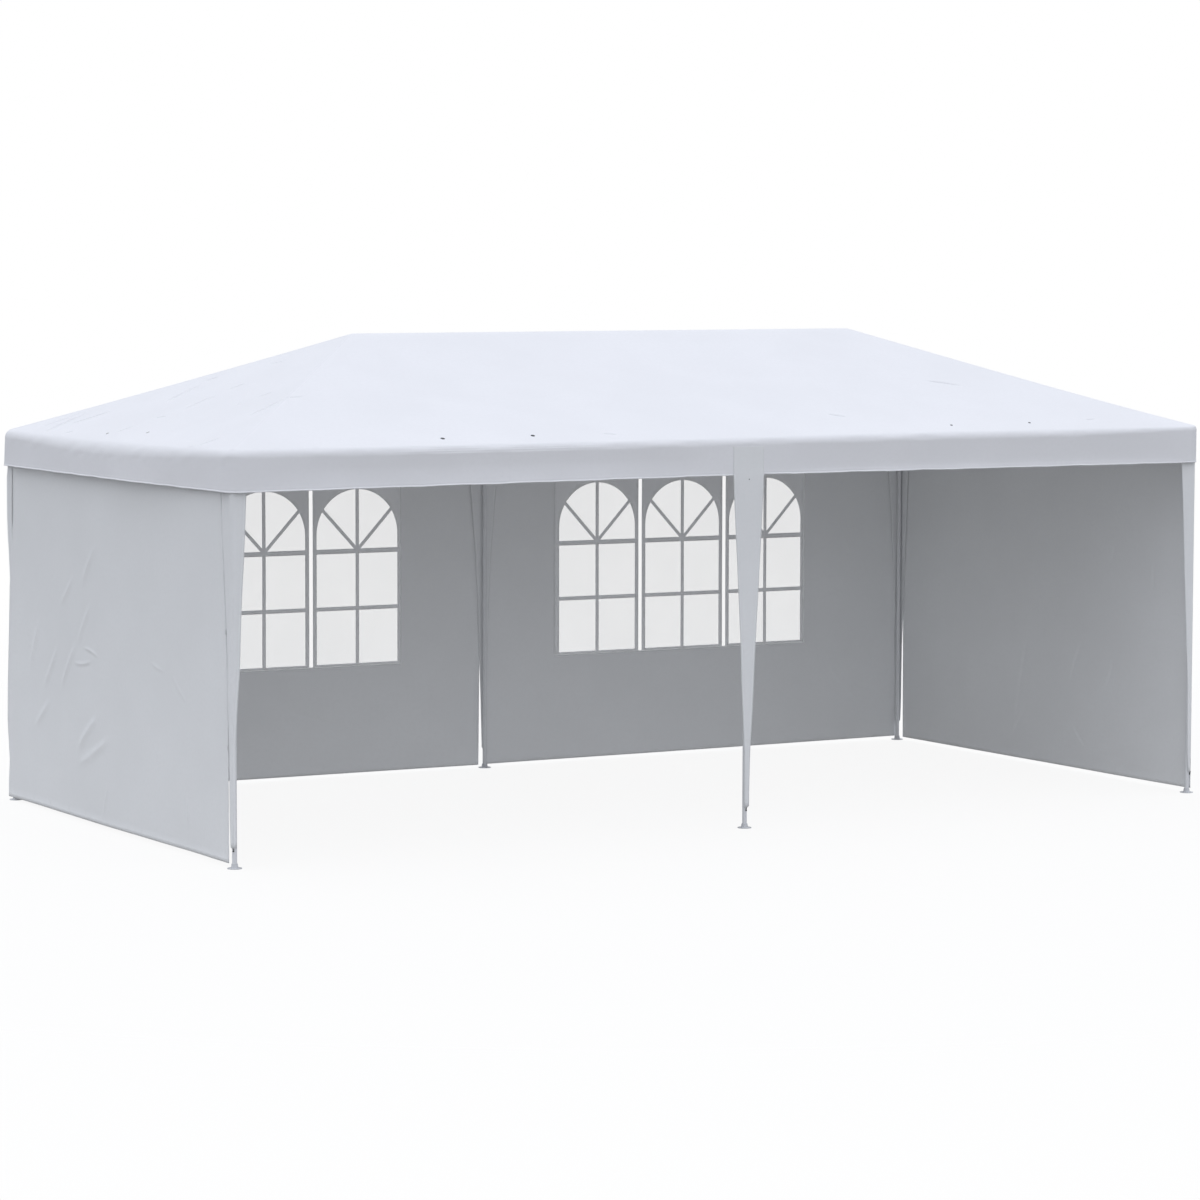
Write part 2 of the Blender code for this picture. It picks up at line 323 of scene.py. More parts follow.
def clearFilm(name, stripPlaces, stripHalf):
    f = film
    finish = Finish(name)
    uv, along = finish.uvParts("cloth")[:2]
    waves = finish.noise(uv, *f["waves"])
    haze = finish.noise(uv, *f["haze"])
    strips = None
    for middle in stripPlaces:
        here = (along - middle).size().below(stripHalf)
        strips = here if strips is None else strips + here
    clouded = f["paneAlpha"] + (haze - 0.5) * 0.05
    return finish.surface({
        "Base Color": finish.mix(haze, *(tint(f["colour"], tone) for tone in f["hazeTones"])),
        "Roughness": f["roughness"] + haze * 0.08,
        "Specular IOR Level": 0.5,
        "IOR": 1.5,
        "Alpha": clouded + strips * (f["stripAlpha"] - f["paneAlpha"]),
        "Normal": finish.bump(waves, f["waveDepth"]),
    })


# Opaque white ink on the film: window frames, bars and the corners round the arches
ink = {
    "patchy": (3.0, 4.0, 0.6),
    "patchyTones": (0.98, 1.01),
    "patchDepth": 0.0012,
    "specks": (260.0, 2.0, 0.5),
    "speckTone": 0.9,
}


def printedFilm(name, colour):
    finish = Finish(name)
    uv = finish.uvParts("cloth")[0]
    patchy = finish.noise(uv, *ink["patchy"])
    specks = finish.noise(uv, *ink["specks"])
    base = finish.mix(patchy, *(tint(colour, tone) for tone in ink["patchyTones"]))
    base = finish.mix(specks.ramp(0.66, 0.8) * 0.2, base, tint(colour, ink["speckTone"]))
    return finish.surface({
        "Base Color": base,
        "Roughness": 0.38 + patchy * 0.10,
        "Specular IOR Level": 0.45,
        "Normal": finish.bump(patchy, ink["patchDepth"]),
    })


roofCloth = coatedCloth("roofCloth", (0.892, 0.896, 0.922), 0.58)
wallCloth = coatedCloth("wallCloth", (0.880, 0.892, 0.901), 0.60)
coverCloth = coatedCloth("coverCloth", (0.880, 0.892, 0.903), 0.58)
tubePaint = powderCoat("tubePaint", (0.80, 0.81, 0.83), 0.34)
fittingPaint = powderCoat("fittingPaint", (0.78, 0.79, 0.81), 0.42)
footPlastic = mouldedPlastic("footPlastic", (0.66, 0.67, 0.69), 0.55)
hookPlastic = mouldedPlastic("hookPlastic", (0.02, 0.02, 0.022), 0.42)
eyeletMetal = platedMetal("eyeletMetal", (0.62, 0.62, 0.60))
snapMetal = platedMetal("snapMetal", (0.30, 0.30, 0.29))
windowPrint = printedFilm("windowPrint", (0.955, 0.965, 0.975))
print("materials made")


def read(table, place):
    # what a table of (place, value) rows gives at a place, evenly between its rows
    return np.interp(place, *zip(*table))


def unevenness(seed, waves):
    # a smooth bumpy field of about unit height, made of a few sines of random heading
    count = 7
    draw = np.random.default_rng(seed)
    heading = draw.uniform(0, 2 * math.pi, count)
    length = waves * draw.uniform(0.6, 1.7, count)
    start = draw.uniform(0, 2 * math.pi, count)

    def field(u, v):
        total = 0.0
        for angle, step, phase in zip(heading, length, start):
            total = total + np.sin((u * math.cos(angle) + v * math.sin(angle)) * 2 * math.pi / step + phase)
        return total / math.sqrt(count)

    return field


def smooth(value, start, end):
    share = np.clip((value - start) / (end - start), 0, 1)
    return share * share * (3 - 2 * share)


# Creases and folds are listed as (start, end, half width, height, bow)
crease = {
    "rise": (-0.06, 0.3),      # shares of its length over which it rises and fades
    "fade": (1.06, 0.7),
    "hollow": 0.35,            # the hollow beside it, in its heights and half widths
    "hollowOff": 1.6,
    "hollowHalf": 1.5,
    "pointsAcross": (-2.2, -1.4, -0.8, -0.35, 0, 0.35, 0.8, 1.4, 2.2, 3.2),
    "pointsAlong": 1.6,
}


def creaseHeight(u, v, creases):
    c = crease
    total = np.zeros(len(u))
    for start, end, width, height, bow in creases:
        start = np.array(start)
        run = np.array(end) - start
        length = np.hypot(*run)
        run = run / length
        du, dv = u - start[0], v - start[1]
        share = (du * run[0] + dv * run[1]) / length
        off = dv * run[0] - du * run[1] - bow * length * np.sin(math.pi * np.clip(share, 0, 1))
        fade = smooth(share, *c["rise"]) * smooth(share, *c["fade"])
        hollow = c["hollow"] * np.exp(-((off / width - c["hollowOff"]) / c["hollowHalf"]) ** 2)
        total += height * fade * (np.exp(-(off / width) ** 2) - hollow)
    return total


def walk(corners, spacing, closed=True):
    # points along a polygon, corners kept
    ends = corners[1:] + corners[:1] if closed else corners[1:]
    path = []
    for start, end in zip(corners, ends):
        start, end = np.array(start, float), np.array(end, float)
        count = max(1, round(np.hypot(*(end - start)) / spacing))
        path += [start + (end - start) * i / count for i in range(count)]
    if not closed:
        path.append(np.array(corners[-1], float))
    return np.array(path)


def within(points, loop):
    u, v = points[:, 0], points[:, 1]
    hit = np.zeros(len(points), bool)
    for (u1, v1), (u2, v2) in zip(loop, np.roll(loop, -1, 0)):
        if v1 != v2:
            hit ^= ((v1 > v) != (v2 > v)) & (u < (u2 - u1) * (v - v1) / (v2 - v1) + u1)
    return hit


def awayFrom(points, placed, distance):
    tree = kdtree.KDTree(len(placed))
    for index, (u, v) in enumerate(placed):
        tree.insert((u, v, 0), index)
    tree.balance()
    gaps = np.array([tree.find((u, v, 0))[2] for u, v in points])
    return points[gaps > distance]


# How a flat cut is filled with points: distances kept from its lines, as shares of the step or in metres
filling = {
    "fromEdge": 0.42,
    "fromCrease": 0.5,
    "creaseFromEdge": 0.003,
    "creaseCell": 0.002,
}


def creasePoints(creases):
    # rows of points along each crease and across it
    close = []
    for start, end, width, _, bow in creases:
        start, end = np.array(start), np.array(end)
        run = end - start
        length = np.hypot(*run)
        side = np.array((-run[1], run[0])) / length
        for share in np.linspace(-0.05, 1.05, max(6, round(length / (crease["pointsAlong"] * width)))):
            bent = bow * length * math.sin(math.pi * min(max(share, 0), 1))
            for off in crease["pointsAcross"]:
                close.append(start + run * share + side * (off * width + bent))
    return close


def cutCloth(outline, holes, lines, step, creases=()):
    # triangles over a flat cut with holes; lines keep sharp folds, and creases get more points
    paths = [(outline, True)] + [(hole, True) for hole in holes] + [(line, False) for line in lines]
    fixed = np.concatenate([path for path, closed in paths])
    edges = []
    first = 0
    for path, closed in paths:
        count = len(path)
        edges += [(first + i, first + i + 1) for i in range(count - 1)]
        if closed:
            edges.append((first + count - 1, first))
        first += count
    low, high = outline.min(0), outline.max(0)
    row = step * math.sqrt(3) / 2
    grid = []
    for j in range(int((high[1] - low[1]) / row) + 2):
        shift = (j % 2) * step / 2
        for i in range(int((high[0] - low[0]) / step) + 2):
            grid.append((low[0] + i * step + shift, low[1] + j * row))
    grid = np.array(grid)
    inner = awayFrom(grid[within(grid, outline)], fixed, step * filling["fromEdge"])
    close = creasePoints(creases)
    if close:
        close = np.array(close)
        close = close[within(close, outline)]
        close = awayFrom(close, fixed, filling["creaseFromEdge"])
        kept = []
        cells = set()
        for point in close:
            cell = (round(point[0] / filling["creaseCell"]), round(point[1] / filling["creaseCell"]))
            if cell not in cells:
                cells.add(cell)
                kept.append(point)
        close = np.array(kept)
        inner = awayFrom(inner, close, step * filling["fromCrease"])
        inner = np.concatenate([inner, close])
    for hole in holes:
        inner = inner[~within(inner, hole)]
    every = np.concatenate([fixed, inner])
    cut = delaunay_2d_cdt([Vector(p) for p in every], edges, [], 0, 1e-7)
    points = np.array([tuple(p) for p in cut[0]])
    faces = np.array(cut[2])
    middle = points[faces].mean(1)
    keep = within(middle, outline)
    for hole in holes:
        keep &= ~within(middle, hole)
    faces = faces[keep]
    a, b, c = points[faces[:, 0]], points[faces[:, 1]], points[faces[:, 2]]
    turn = (b[:, 0] - a[:, 0]) * (c[:, 1] - a[:, 1]) - (b[:, 1] - a[:, 1]) * (c[:, 0] - a[:, 0])
    faces = faces[np.abs(turn) > 1e-10]
    turn = turn[np.abs(turn) > 1e-10]
    faces[turn < 0] = faces[turn < 0][:, ::-1]
    used = np.unique(faces)
    renumber = np.full(len(points), -1)
    renumber[used] = np.arange(len(used))
    places = {}
    for index, sources in enumerate(cut[3]):
        for source in sources:
            places[source] = renumber[index]
    loop = [places[i] for i in range(len(outline))]
    return points[used], renumber[faces], loop


def rectangle(low, high, foot, top):
    return [(low, foot), (high, foot), (high, top), (low, top)]


def around(corners):
    # the sides of a closed outline
    return list(zip(corners, corners[1:] + corners[:1]))


def edgeDistance(points, segments):
    # how far each point is from the nearest sewn edge, and how far along that edge
    best = np.full(len(points), farAway)
    run = np.zeros(len(points))
    for start, end in segments:
        start, end = np.array(start, float), np.array(end, float)
        length = np.hypot(*(end - start))
        way = (end - start) / length
        t = np.clip((points - start) @ way, 0, length)
        gap = np.hypot(*(points - start - t[:, None] * way).T)
        closer = gap < best
        best[closer] = gap[closer]
        run[closer] = t[closer]
    return best, run


def inset(corners, distance):
    # a convex polygon moved inward, corners listed anticlockwise
    moved = []
    count = len(corners)
    for i in range(count):
        before, here, after = (np.array(corners[(i + k) % count], float) for k in (-1, 0, 1))
        a = (here - before) / np.hypot(*(here - before))
        b = (after - here) / np.hypot(*(after - here))
        na, nb = np.array((-a[1], a[0])), np.array((-b[1], b[0]))
        moved.append(tuple(here + (na + nb) * distance / (1 + na @ nb)))
    return moved


def cornerPairs(faces, values):
    return [values[face] for face in faces]


def flatMaps(flat, faces, segments):
    # metres along and across the cut, and along its nearest sewn edge and away from it
    gap, run = edgeDistance(flat, segments)
    return cornerPairs(faces, flat), cornerPairs(faces, np.column_stack([run, gap]))


def sewSheet(name, points, faces, maps, thick, hemThick, hemWidth, material, flip=False):
    # a sheet of real thickness, thicker along its sewn hem; maps hold a pair for each face corner
    mesh = bpy.data.meshes.new(name)
    order = [tuple(int(i) for i in (face[::-1] if flip else face)) for face in faces]
    mesh.from_pydata([tuple(p) for p in points], [], order)
    for title, pairs in zip(("cloth", "edge"), maps):
        layer = mesh.uv_layers.new(name=title)
        values = np.concatenate([pair[::-1] if flip else pair for pair in pairs])
        layer.data.foreach_set("uv", values.astype(np.float32).ravel())
    mesh.polygons.foreach_set("use_smooth", [True] * len(order))
    piece = bpy.data.objects.new(name, mesh)
    bpy.context.scene.collection.objects.link(piece)
    mesh.materials.append(material)
    hem = piece.vertex_groups.new(name="hem")
    gap = np.full(len(points), farAway)
    for face, pairs in zip(faces, maps[1]):
        for index, pair in zip(face, pairs):
            gap[index] = min(gap[index], pair[1])
    inHem = gap <= hemWidth + 0.0002
    for chosen, weight in ((inHem, 1.0), (~inHem, thick / hemThick)):
        hem.add([int(i) for i in np.nonzero(chosen)[0]], weight, "REPLACE")
    layer = piece.modifiers.new("thickness", "SOLIDIFY")
    layer.thickness = hemThick
    layer.offset = 0.0
    layer.vertex_group = "hem"
    layer.use_even_offset = False
    return piece


# The roof cover: four slopes, the soft turn over the eave tubes, and the valance, in one sheet
canopy = {
    "clear": 0.0215,       # sheet to the axis of the eave tubes
    "out": 0.040,          # valance to the leg axes
    "bendRadius": 0.045,   # of the bend over the eave, and by place along the long sides and the left end
    "sideBend": ((-2.97, 0.048), (-2.5, 0.045), (2.0, 0.045), (2.6, 0.032), (2.97, 0.024)),
    "leftBend": ((-1.46, 0.046), (-0.90, 0.064), (-0.20, 0.082), (0.40, 0.082), (0.90, 0.062), (1.46, 0.046)),
    # how far the left bend stands out beyond a straight eave
    "leftBulge": ((-1.46, 0.004), (-0.90, 0.022), (-0.20, 0.034), (0.60, 0.034), (1.10, 0.022),
                  (1.46, 0.014)),
    "leftLean": 0.006,     # the left valance stands out and up by this much more at its foot
    "leftFoot": 0.0035,
    "bendSteps": 20,
    "bendRipple": 0.0007,
    "stripe": 0.0125,      # small level folds where the front bend was packed flat
    "stripeHeight": 0.0006,
    "packed": ((-2.2, -1.95), (0.75, 1.0)),  # where they begin, along X, and where they end, against it
    "dent": 0.0012,        # small dents in the left bend
    "cornerRadius": 0.075,
    "cornerSteps": 8,
    "edgeStep": 0.032,
    "ridgeTop": 2.6115,
    "ridgeRise": 0.0047,   # to the right, for each metre
    "ridgeSoft": 0.010,    # how sharply the cloth bends over the ridge and the hips
    "hipSoft": 0.006,
    "lineGap": 0.010,      # from a sharp line to the near lines beside it
    "lineSpacing": 0.03,
    "hipEnds": (0.02, 0.03),  # where the near lines start and all three end
    "hipSeam": 0.001,
    "eaveLift": ((-2.97, 0.0), (-1.9, 0.0), (-0.6, 0.004), (0.0, 0.009), (1.1, 0.015), (2.4, 0.017),
                 (2.97, 0.022)),
    "hipDrop": 0.0062,     # the left hips sag to their rafters
    "hipDropReach": 0.16,
    "leftDip": 0.0060,
    "leftDipStart": (2.4, 2.85),
    "leftDipHalf": 1.2,
    "sag": 0.016,
    "sagReach": (0.30, 0.30, 0.35, 0.40),  # how soon it sets in beside hips, eave, ridge and middle rafters
    "tubeHalf": 0.012,
    "slopeWaves": (0.0035, 0.0016),
    # uneven fields: seed and length of their waves
    "spread": (11, 0.9),
    "finer": (12, 0.33),
    "swaying": (21, 0.8),
    "rippled": (22, 0.22),
    "dented": (23, 0.09),
    "valance": 0.2,        # its depth with the bend
    "levels": (0.05, 0.11, 0.18, 0.26, 0.34, 0.42, 0.50, 0.58, 0.66, 0.74, 0.81),  # its rows, as shares
    "middleHold": 0.45,
    "cornerHold": 0.35,
    "sway": 0.0035,
    "ripple": 0.0010,
    "thick": 0.0018,       # of the full weight of the hem group
    "plainShare": 0.4,
    "hemShare": 0.65,
    "hemRows": 11,
    "hem": 0.020,
    "hemTurns": (60, 32, 5, -22, -50, -80, -115, -150),  # degrees round the rolled hem
    "flatHem": (0.125, 0.100),  # it isn't rolled where the front middle cover is sewn on
    "hemRoll": 0.0025,
    "hemFoot": 1.881,
    "hemRise": (0.0072, 0.0007),
    "hemRear": 0.007,      # more at the rear of the left end
    "hemLines": (0.0215, 0.020, 0.012),  # rows above the foot, for the hem's inner edge and its stitches
    # how the long valances hang hollow: share of their fall, and how far they stand out there
    "hollow": {
        "left": ((0, 0), (0.15, -0.0022), (0.42, -0.0064), (0.60, -0.0062), (0.80, -0.0040), (1, -0.0015)),
        "right": ((0, 0), (0.15, -0.0024), (0.50, -0.0074), (0.76, -0.0106), (0.86, -0.0102), (1, -0.0078)),
    },
    "step": 0.036,
}
slopeCreases = [
    # front slope
    ((1.63, -0.75), (1.83, -0.83), 0.0048, -0.0087, 0.02),
    ((0.69, -1.18), (0.79, -1.23), 0.0048, -0.0087, 0.02),
    ((-0.83, -1.37), (-0.75, -1.39), 0.0046, -0.0072, 0.02),
    ((2.31, -1.34), (2.39, -1.33), 0.0044, -0.0058, 0.02),
    ((-2.61, -0.85), (-2.27, -0.82), 0.0055, -0.0128, -0.02),
    # left slope
    ((-3.00, 0.98), (-2.70, 1.02), 0.0055, -0.0128, 0.0),
    ((-2.86, 0.91), (-2.66, 0.78), 0.0051, -0.0096, 0.0),
    ((-2.93, 1.16), (-2.72, 1.09), 0.0048, -0.0072, 0.0),
    ((-2.97, 0.72), (-2.93, 0.68), 0.0048, -0.0096, 0.0),
    ((-2.89, 0.18), (-2.80, 0.15), 0.0046, -0.0075, 0.02),
    ((-2.52, 0.40), (-2.27, 0.44), 0.0055, -0.0128, 0.0),
    ((-2.58, 0.03), (-2.37, 0.01), 0.0048, -0.0090, 0.02),
    ((-2.32, 0.02), (-2.23, -0.02), 0.0046, -0.0081, 0.0),
    ((-2.50, -0.47), (-2.45, -0.46), 0.0044, -0.0064, 0.0),
    ((-2.40, -0.51), (-2.32, -0.54), 0.0046, -0.0075, 0.0),
    ((-2.69, 0.13), (-2.66, 0.04), 0.0046, -0.0058, 0.0),
    ((-2.24, 0.48), (-2.18, 0.43), 0.0046, -0.0081, 0.0),
    ((-2.00, 0.17), (-1.95, 0.09), 0.0046, -0.0058, 0.0),
    ((-3.00, -1.03), (-2.86, -1.08), 0.0051, -0.0096, 0.02),
    # rear and right, as on the seen sides
    ((2.72, 1.05), (2.33, 0.86), 0.0051, -0.0101, 0.02),
    ((-1.20, 1.22), (-1.38, 1.16), 0.0046, -0.0075, 0.03),
    ((0.92, 0.92), (1.08, 0.83), 0.0046, -0.0075, 0.03),
    ((2.55, -0.30), (2.36, -0.24), 0.0048, -0.0090, 0.03),
    ((2.90, 0.62), (2.74, 0.70), 0.0046, -0.0075, 0.03),
]


def eaveStart():
    # the slope's angle, and how far beyond the legs and how high the bend over the eave starts
    c = canopy
    angle = math.atan((c["ridgeTop"] - eaveZ - c["clear"]) / legY)
    arcOut = c["out"] - c["bendRadius"]
    lean = (c["clear"] - c["bendRadius"] - math.sin(angle) * arcOut) / math.cos(angle)
    out = arcOut + c["bendRadius"] * math.sin(angle)
    return angle, out, eaveZ + lean + c["bendRadius"] * math.cos(angle)


slopeAngle, bendOut, bendZ = eaveStart()
ridgeHalf = stand["ridgeHalf"]
halfX = legX + bendOut
halfY = legY + bendOut
hipRun = halfX - ridgeHalf
unevenKinds = ("spread", "finer", "swaying", "rippled", "dented")
spread, finer, sway, ripple, dent = (unevenness(*canopy[kind]) for kind in unevenKinds)


def onEnd(x, y):
    return (np.abs(x) - ridgeHalf) * halfY > np.abs(y) * hipRun


def supports(x, y):
    # share of a full sag: none over a tube, and more with the distance in plan to each
    ax, ay = np.abs(x), np.abs(y)
    end = onEnd(x, y)
    hip = np.abs((ax - ridgeHalf) * halfY - ay * hipRun) / math.hypot(halfY, hipRun)
    eave = np.where(end, halfX - ax, halfY - ay)
    ridge = np.where(end, farAway, ay)
    rafter = np.where(end, farAway, ax)
    mask = 1.0
    for gap, reach in zip((hip, eave, ridge, rafter), canopy["sagReach"]):
        mask = mask * (1 - np.exp(-np.maximum(gap - canopy["tubeHalf"], 0) / reach))
    return mask


def slopeZ(x, y):
    c = canopy
    ax, ay = np.abs(x), np.abs(y)
    soft, width = c["ridgeSoft"], c["hipSoft"]
    towardsEave = (np.sqrt(ay ** 2 + soft ** 2) - soft) / (math.hypot(halfY, soft) - soft)
    towardsEnd = (ax - ridgeHalf) / hipRun
    gap = towardsEave - towardsEnd
    drop = (towardsEave + towardsEnd + np.sqrt(gap ** 2 + width ** 2)) / 2 - width / 2
    drop = np.clip(drop, 0, 1.05)
    top = c["ridgeTop"] + c["ridgeRise"] * (np.clip(x, -ridgeHalf, ridgeHalf) + ridgeHalf)
    low = bendZ + read(c["eaveLift"], x) * drop ** 2
    z = top - drop * (top - low)
    nearHip = np.exp(-(gap / c["hipDropReach"]) ** 2)
    nearHip = nearHip * np.sin(math.pi * np.clip(towardsEave, 0, 1)) ** 0.7
    z = z - c["hipDrop"] * nearHip * (x < -ridgeHalf)
    z = z - c["leftDip"] * smooth(-x, *c["leftDipStart"]) * np.clip(1 - (y / c["leftDipHalf"]) ** 2, 0, 1)
    mask = supports(x, y)
    broad, fine = c["slopeWaves"]
    z = z - c["sag"] * mask + mask * (broad * spread(x, y) + fine * finer(x, y))
    return z + creaseHeight(x, y, slopeCreases) * np.minimum(1, mask * 6 + 0.25)


def slopeOutline():
    # where the bend starts, as a closed loop, with its outward directions, its share of the left end
    # and the bend's radii
    c = canopy
    radius = c["cornerRadius"] - (c["out"] - bendOut)
    loop = []
    outward = []
    ways = ((1, -1), (1, 1), (-1, 1), (-1, -1))
    centres = [np.array((sx * (halfX - radius), sy * (halfY - radius))) for sx, sy in ways]
    for corner, middle in enumerate(centres):
        first = -math.pi / 2 + corner * math.pi / 2
        for k in range(c["cornerSteps"] + 1):
            turn = first + k / c["cornerSteps"] * math.pi / 2
            way = np.array((math.cos(turn), math.sin(turn)))
            loop.append(middle + radius * way)
            outward.append(way)
        way = outward[-1]
        start, end = loop[-1], centres[(corner + 1) % 4] + radius * way
        count = round(np.hypot(*(end - start)) / c["edgeStep"])
        for k in range(1, count):
            loop.append(start + (end - start) * k / count)
            outward.append(way)
    loop = np.array(loop)
    outward = np.array(outward)
    toLeft = np.clip(-outward[:, 0], 0, 1) ** 2
    radii = read(c["sideBend"], loop[:, 0]) * (1 - toLeft)
    radii = radii + read(c["leftBend"], loop[:, 1]) * toLeft
    bulge = read(c["leftBulge"], loop[:, 1]) * toLeft
    loop = loop + outward * ((c["bendRadius"] - radii) * (1 - math.sin(slopeAngle)) + bulge)[:, None]
    return loop, outward, toLeft, radii


def sharpLines():
    # the ridge and the four hips, each with a near line on both sides
    c = canopy
    beside = c["lineGap"]
    lines = []
    for off in (-beside, 0, beside):
        inner = ridgeHalf - abs(off) * 0.9
        lines.append(walk([(-inner, off), (inner, off)], c["lineSpacing"], False))
    way = np.array((hipRun, halfY))
    way = way / np.hypot(*way)
    side = np.array((-way[1], way[0]))
    end = math.hypot(hipRun, halfY) - c["hipEnds"][1]
    for turned in ((-1, -1), (-1, 1), (1, -1), (1, 1)):
        for off in (-beside, 0, beside):
            start = 0.0 if off == 0 else c["hipEnds"][0]
            ends = [tuple(np.array((ridgeHalf, 0)) + way * far + side * off) for far in (start, end)]
            lines.append(walk(ends, c["lineSpacing"], False) * turned)
    seen = set()
    for k, line in enumerate(lines):
        keep = []
        for point in line:
            cell = (round(point[0], 3), round(point[1], 3))
            if cell not in seen:
                seen.add(cell)
                keep.append(point)
        lines[k] = np.array(keep)
    return lines


def bendAndFall(base, s, outward, toLeft, radii):
    # rows of points over the bend, down the valance and round its rolled hem; s runs along the eave
    c = canopy
    angle = slopeAngle
    bx, by = base[:, 0], base[:, 1]
    foot = c["hemFoot"] + np.where(bx < 0, *c["hemRise"]) * bx + c["ripple"] * ripple(s, 0 * s)
    foot = foot + c["hemRear"] * smooth(by, -1.4, 1.4) * smooth(-bx, 2.4, 2.95) + c["leftFoot"] * toLeft
    centreZ = base[:, 2] - radii * math.cos(angle)
    rows = []
    onFront = np.clip(-outward[:, 1], 0, 1)
    onSides = np.abs(outward[:, 1])
    begin, finish = c["packed"]
    packed = onFront * smooth(bx, *begin) * smooth(-bx, *finish)
    for k in range(1, c["bendSteps"] + 1):
        phi = angle + (math.pi / 2 - angle) * k / c["bendSteps"]
        arc = radii * (phi - angle)
        proud = c["bendRipple"] * math.sin(math.pi * k / c["bendSteps"] * 2.0) * ripple(s, 0 * s)
        proud = proud + c["stripeHeight"] * np.sin(2 * math.pi * arc / c["stripe"]) * packed
        proud = proud + c["dent"] * dent(s, arc) * toLeft * math.sin(math.pi * k / c["bendSteps"] * 0.5)
        out = radii * (np.sin(phi) - math.sin(angle)) + proud * np.sin(phi)
        level = centreZ + radii * np.cos(phi) + proud * np.cos(phi)
        rows.append(np.column_stack([base[:, :2] + outward * out[:, None], level]))

    # the valance swings freely only away from the middle legs and the corners
    apart = 1 - np.exp(-(bx / c["middleHold"]) ** 2) * onSides
    held = 1 - np.exp(-(np.maximum(halfX - np.abs(bx), halfY - np.abs(by)) / c["cornerHold"]) ** 2)
    fallOut = radii * (1 - math.sin(angle))
    fall = centreZ - foot
    mostlyRight = smooth(bx, -0.6, 0.6)
    roll = c["hemRoll"]
    plain = [centreZ - fall * share for share in c["levels"]]
    plain += [foot + rise for rise in c["hemLines"]] + [foot + 2 * roll + 0.0006]
    turns = np.radians(c["hemTurns"])
    rolled = onFront * (1 - smooth(np.abs(bx), *c["flatHem"]))
    rolled = np.where(outward[:, 1] < -0.9, rolled, 1.0)
    for k in range(len(plain) + len(turns)):
        left = len(turns) - 1 - (k - len(plain))
        level = plain[k] if k < len(plain) else foot + 2 * roll * left / len(turns)
        share = (centreZ - level) / fall
        swing = held * apart * share ** 1.3 * (c["sway"] * sway(s, 0 * s) + c["ripple"] * ripple(s, level))
        bow = read(c["hollow"]["left"], share) * (1 - mostlyRight)
        bow = bow + read(c["hollow"]["right"], share) * mostlyRight
        out = fallOut + swing + bow * onSides * apart * held + c["leftLean"] * share * toLeft
        fade = smooth(share, 0.25, 0.0) * (share > 0)
        out = out + c["dent"] * dent(s, centreZ - level + radii * (math.pi / 2 - angle)) * toLeft * fade
        if k >= len(plain):
            turn = turns[k - len(plain)]
            out = out + rolled * roll * math.cos(turn)
            level = level + rolled * (foot + roll * (1 + math.sin(turn)) - level)
        rows.append(np.column_stack([base[:, :2] + outward * out[:, None], level]))
    return rows


def slopeMaps(plan, faces):
    # metres along and down each slope, and along its nearest hip and away from it
    clothMap = []
    edgeMap = []
    slopeFactor = 1 / math.cos(slopeAngle)
    way = np.array((hipRun, halfY)) / math.hypot(hipRun, halfY)
    for face, middle in zip(faces, plan[faces].mean(1)):
        x, y = plan[face].T
        across, down = (y, x) if onEnd(*middle) else (x, y)
        clothMap.append(np.column_stack([across, down * slopeFactor]))
        ax, ay = np.abs(x) - ridgeHalf, np.abs(y)
        fromHip = canopy["hipSeam"] + np.abs(ax * way[1] - ay * way[0])
        edgeMap.append(np.column_stack([ax * way[0] + ay * way[1], fromHip]))
    return clothMap, edgeMap


def makeCanopy():
    c = canopy
    loop, outward, toLeft, radii = slopeOutline()
    plan, faces, rim = cutCloth(loop, (), sharpLines(), c["step"], slopeCreases)
    slopes = np.column_stack([plan, slopeZ(plan[:, 0], plan[:, 1])])
    walked = np.concatenate([[0], np.cumsum(np.hypot(*(np.roll(loop, -1, 0) - loop).T))])
    rows = bendAndFall(slopes[rim], walked[:-1], outward, toLeft, radii)
    points = np.concatenate([slopes] + rows)

    # faces between the rows, with one map for both: metres along the eave and up from the hem
    columns = len(rim)
    index = [list(rim)] + [[len(plan) + r * columns + k for k in range(columns)] for r in range(len(rows))]
    down = np.zeros((len(rows) + 1, columns))
    for r in range(len(rows)):
        down[r + 1] = down[r] + np.linalg.norm(points[index[r + 1]] - points[index[r]], axis=1)
    toHem = down[-1] - down
    clothMap, edgeMap = slopeMaps(plan, faces)
    faces = [list(face) for face in faces]
    for r in range(len(rows)):
        for k in range(columns):
            after = (k + 1) % columns
            faces.append([index[r][k], index[r + 1][k], index[r + 1][after], index[r][after]])
            pair = np.array((
                (walked[k], toHem[r, k]),
                (walked[k], toHem[r + 1, k]),
                (walked[k + 1], toHem[r + 1, after]),
                (walked[k + 1], toHem[r, after]),
            ))
            clothMap.append(pair)
            edgeMap.append(pair)

    # the hips are sewn flat, so only the rows of the rolled hem are thicker
    maps = (clothMap, edgeMap)
    piece = sewSheet("roof_canopy", points, faces, maps, c["thick"], c["thick"], 0.0, roofCloth)
    hem = piece.vertex_groups["hem"]
    hem.add(list(range(len(points))), c["plainShare"], "REPLACE")
    hem.add([i for row in index[-c["hemRows"]:] for i in row], c["hemShare"], "REPLACE")
    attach(piece, "root")
    panels = ["roof_panel_", "valance_"]
    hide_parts(*[p + side for p in panels for side in ("front", "rear", "left", "right")])
    area = 4 * halfX * halfY / math.cos(slopeAngle) + walked[-1] * float(down[-1].mean())
    width, length = 2 * (halfX + c["valance"]), 2 * (halfY / math.cos(slopeAngle) + c["valance"])
    min(area, width * length)


makeCanopy()
print("roof cover made")


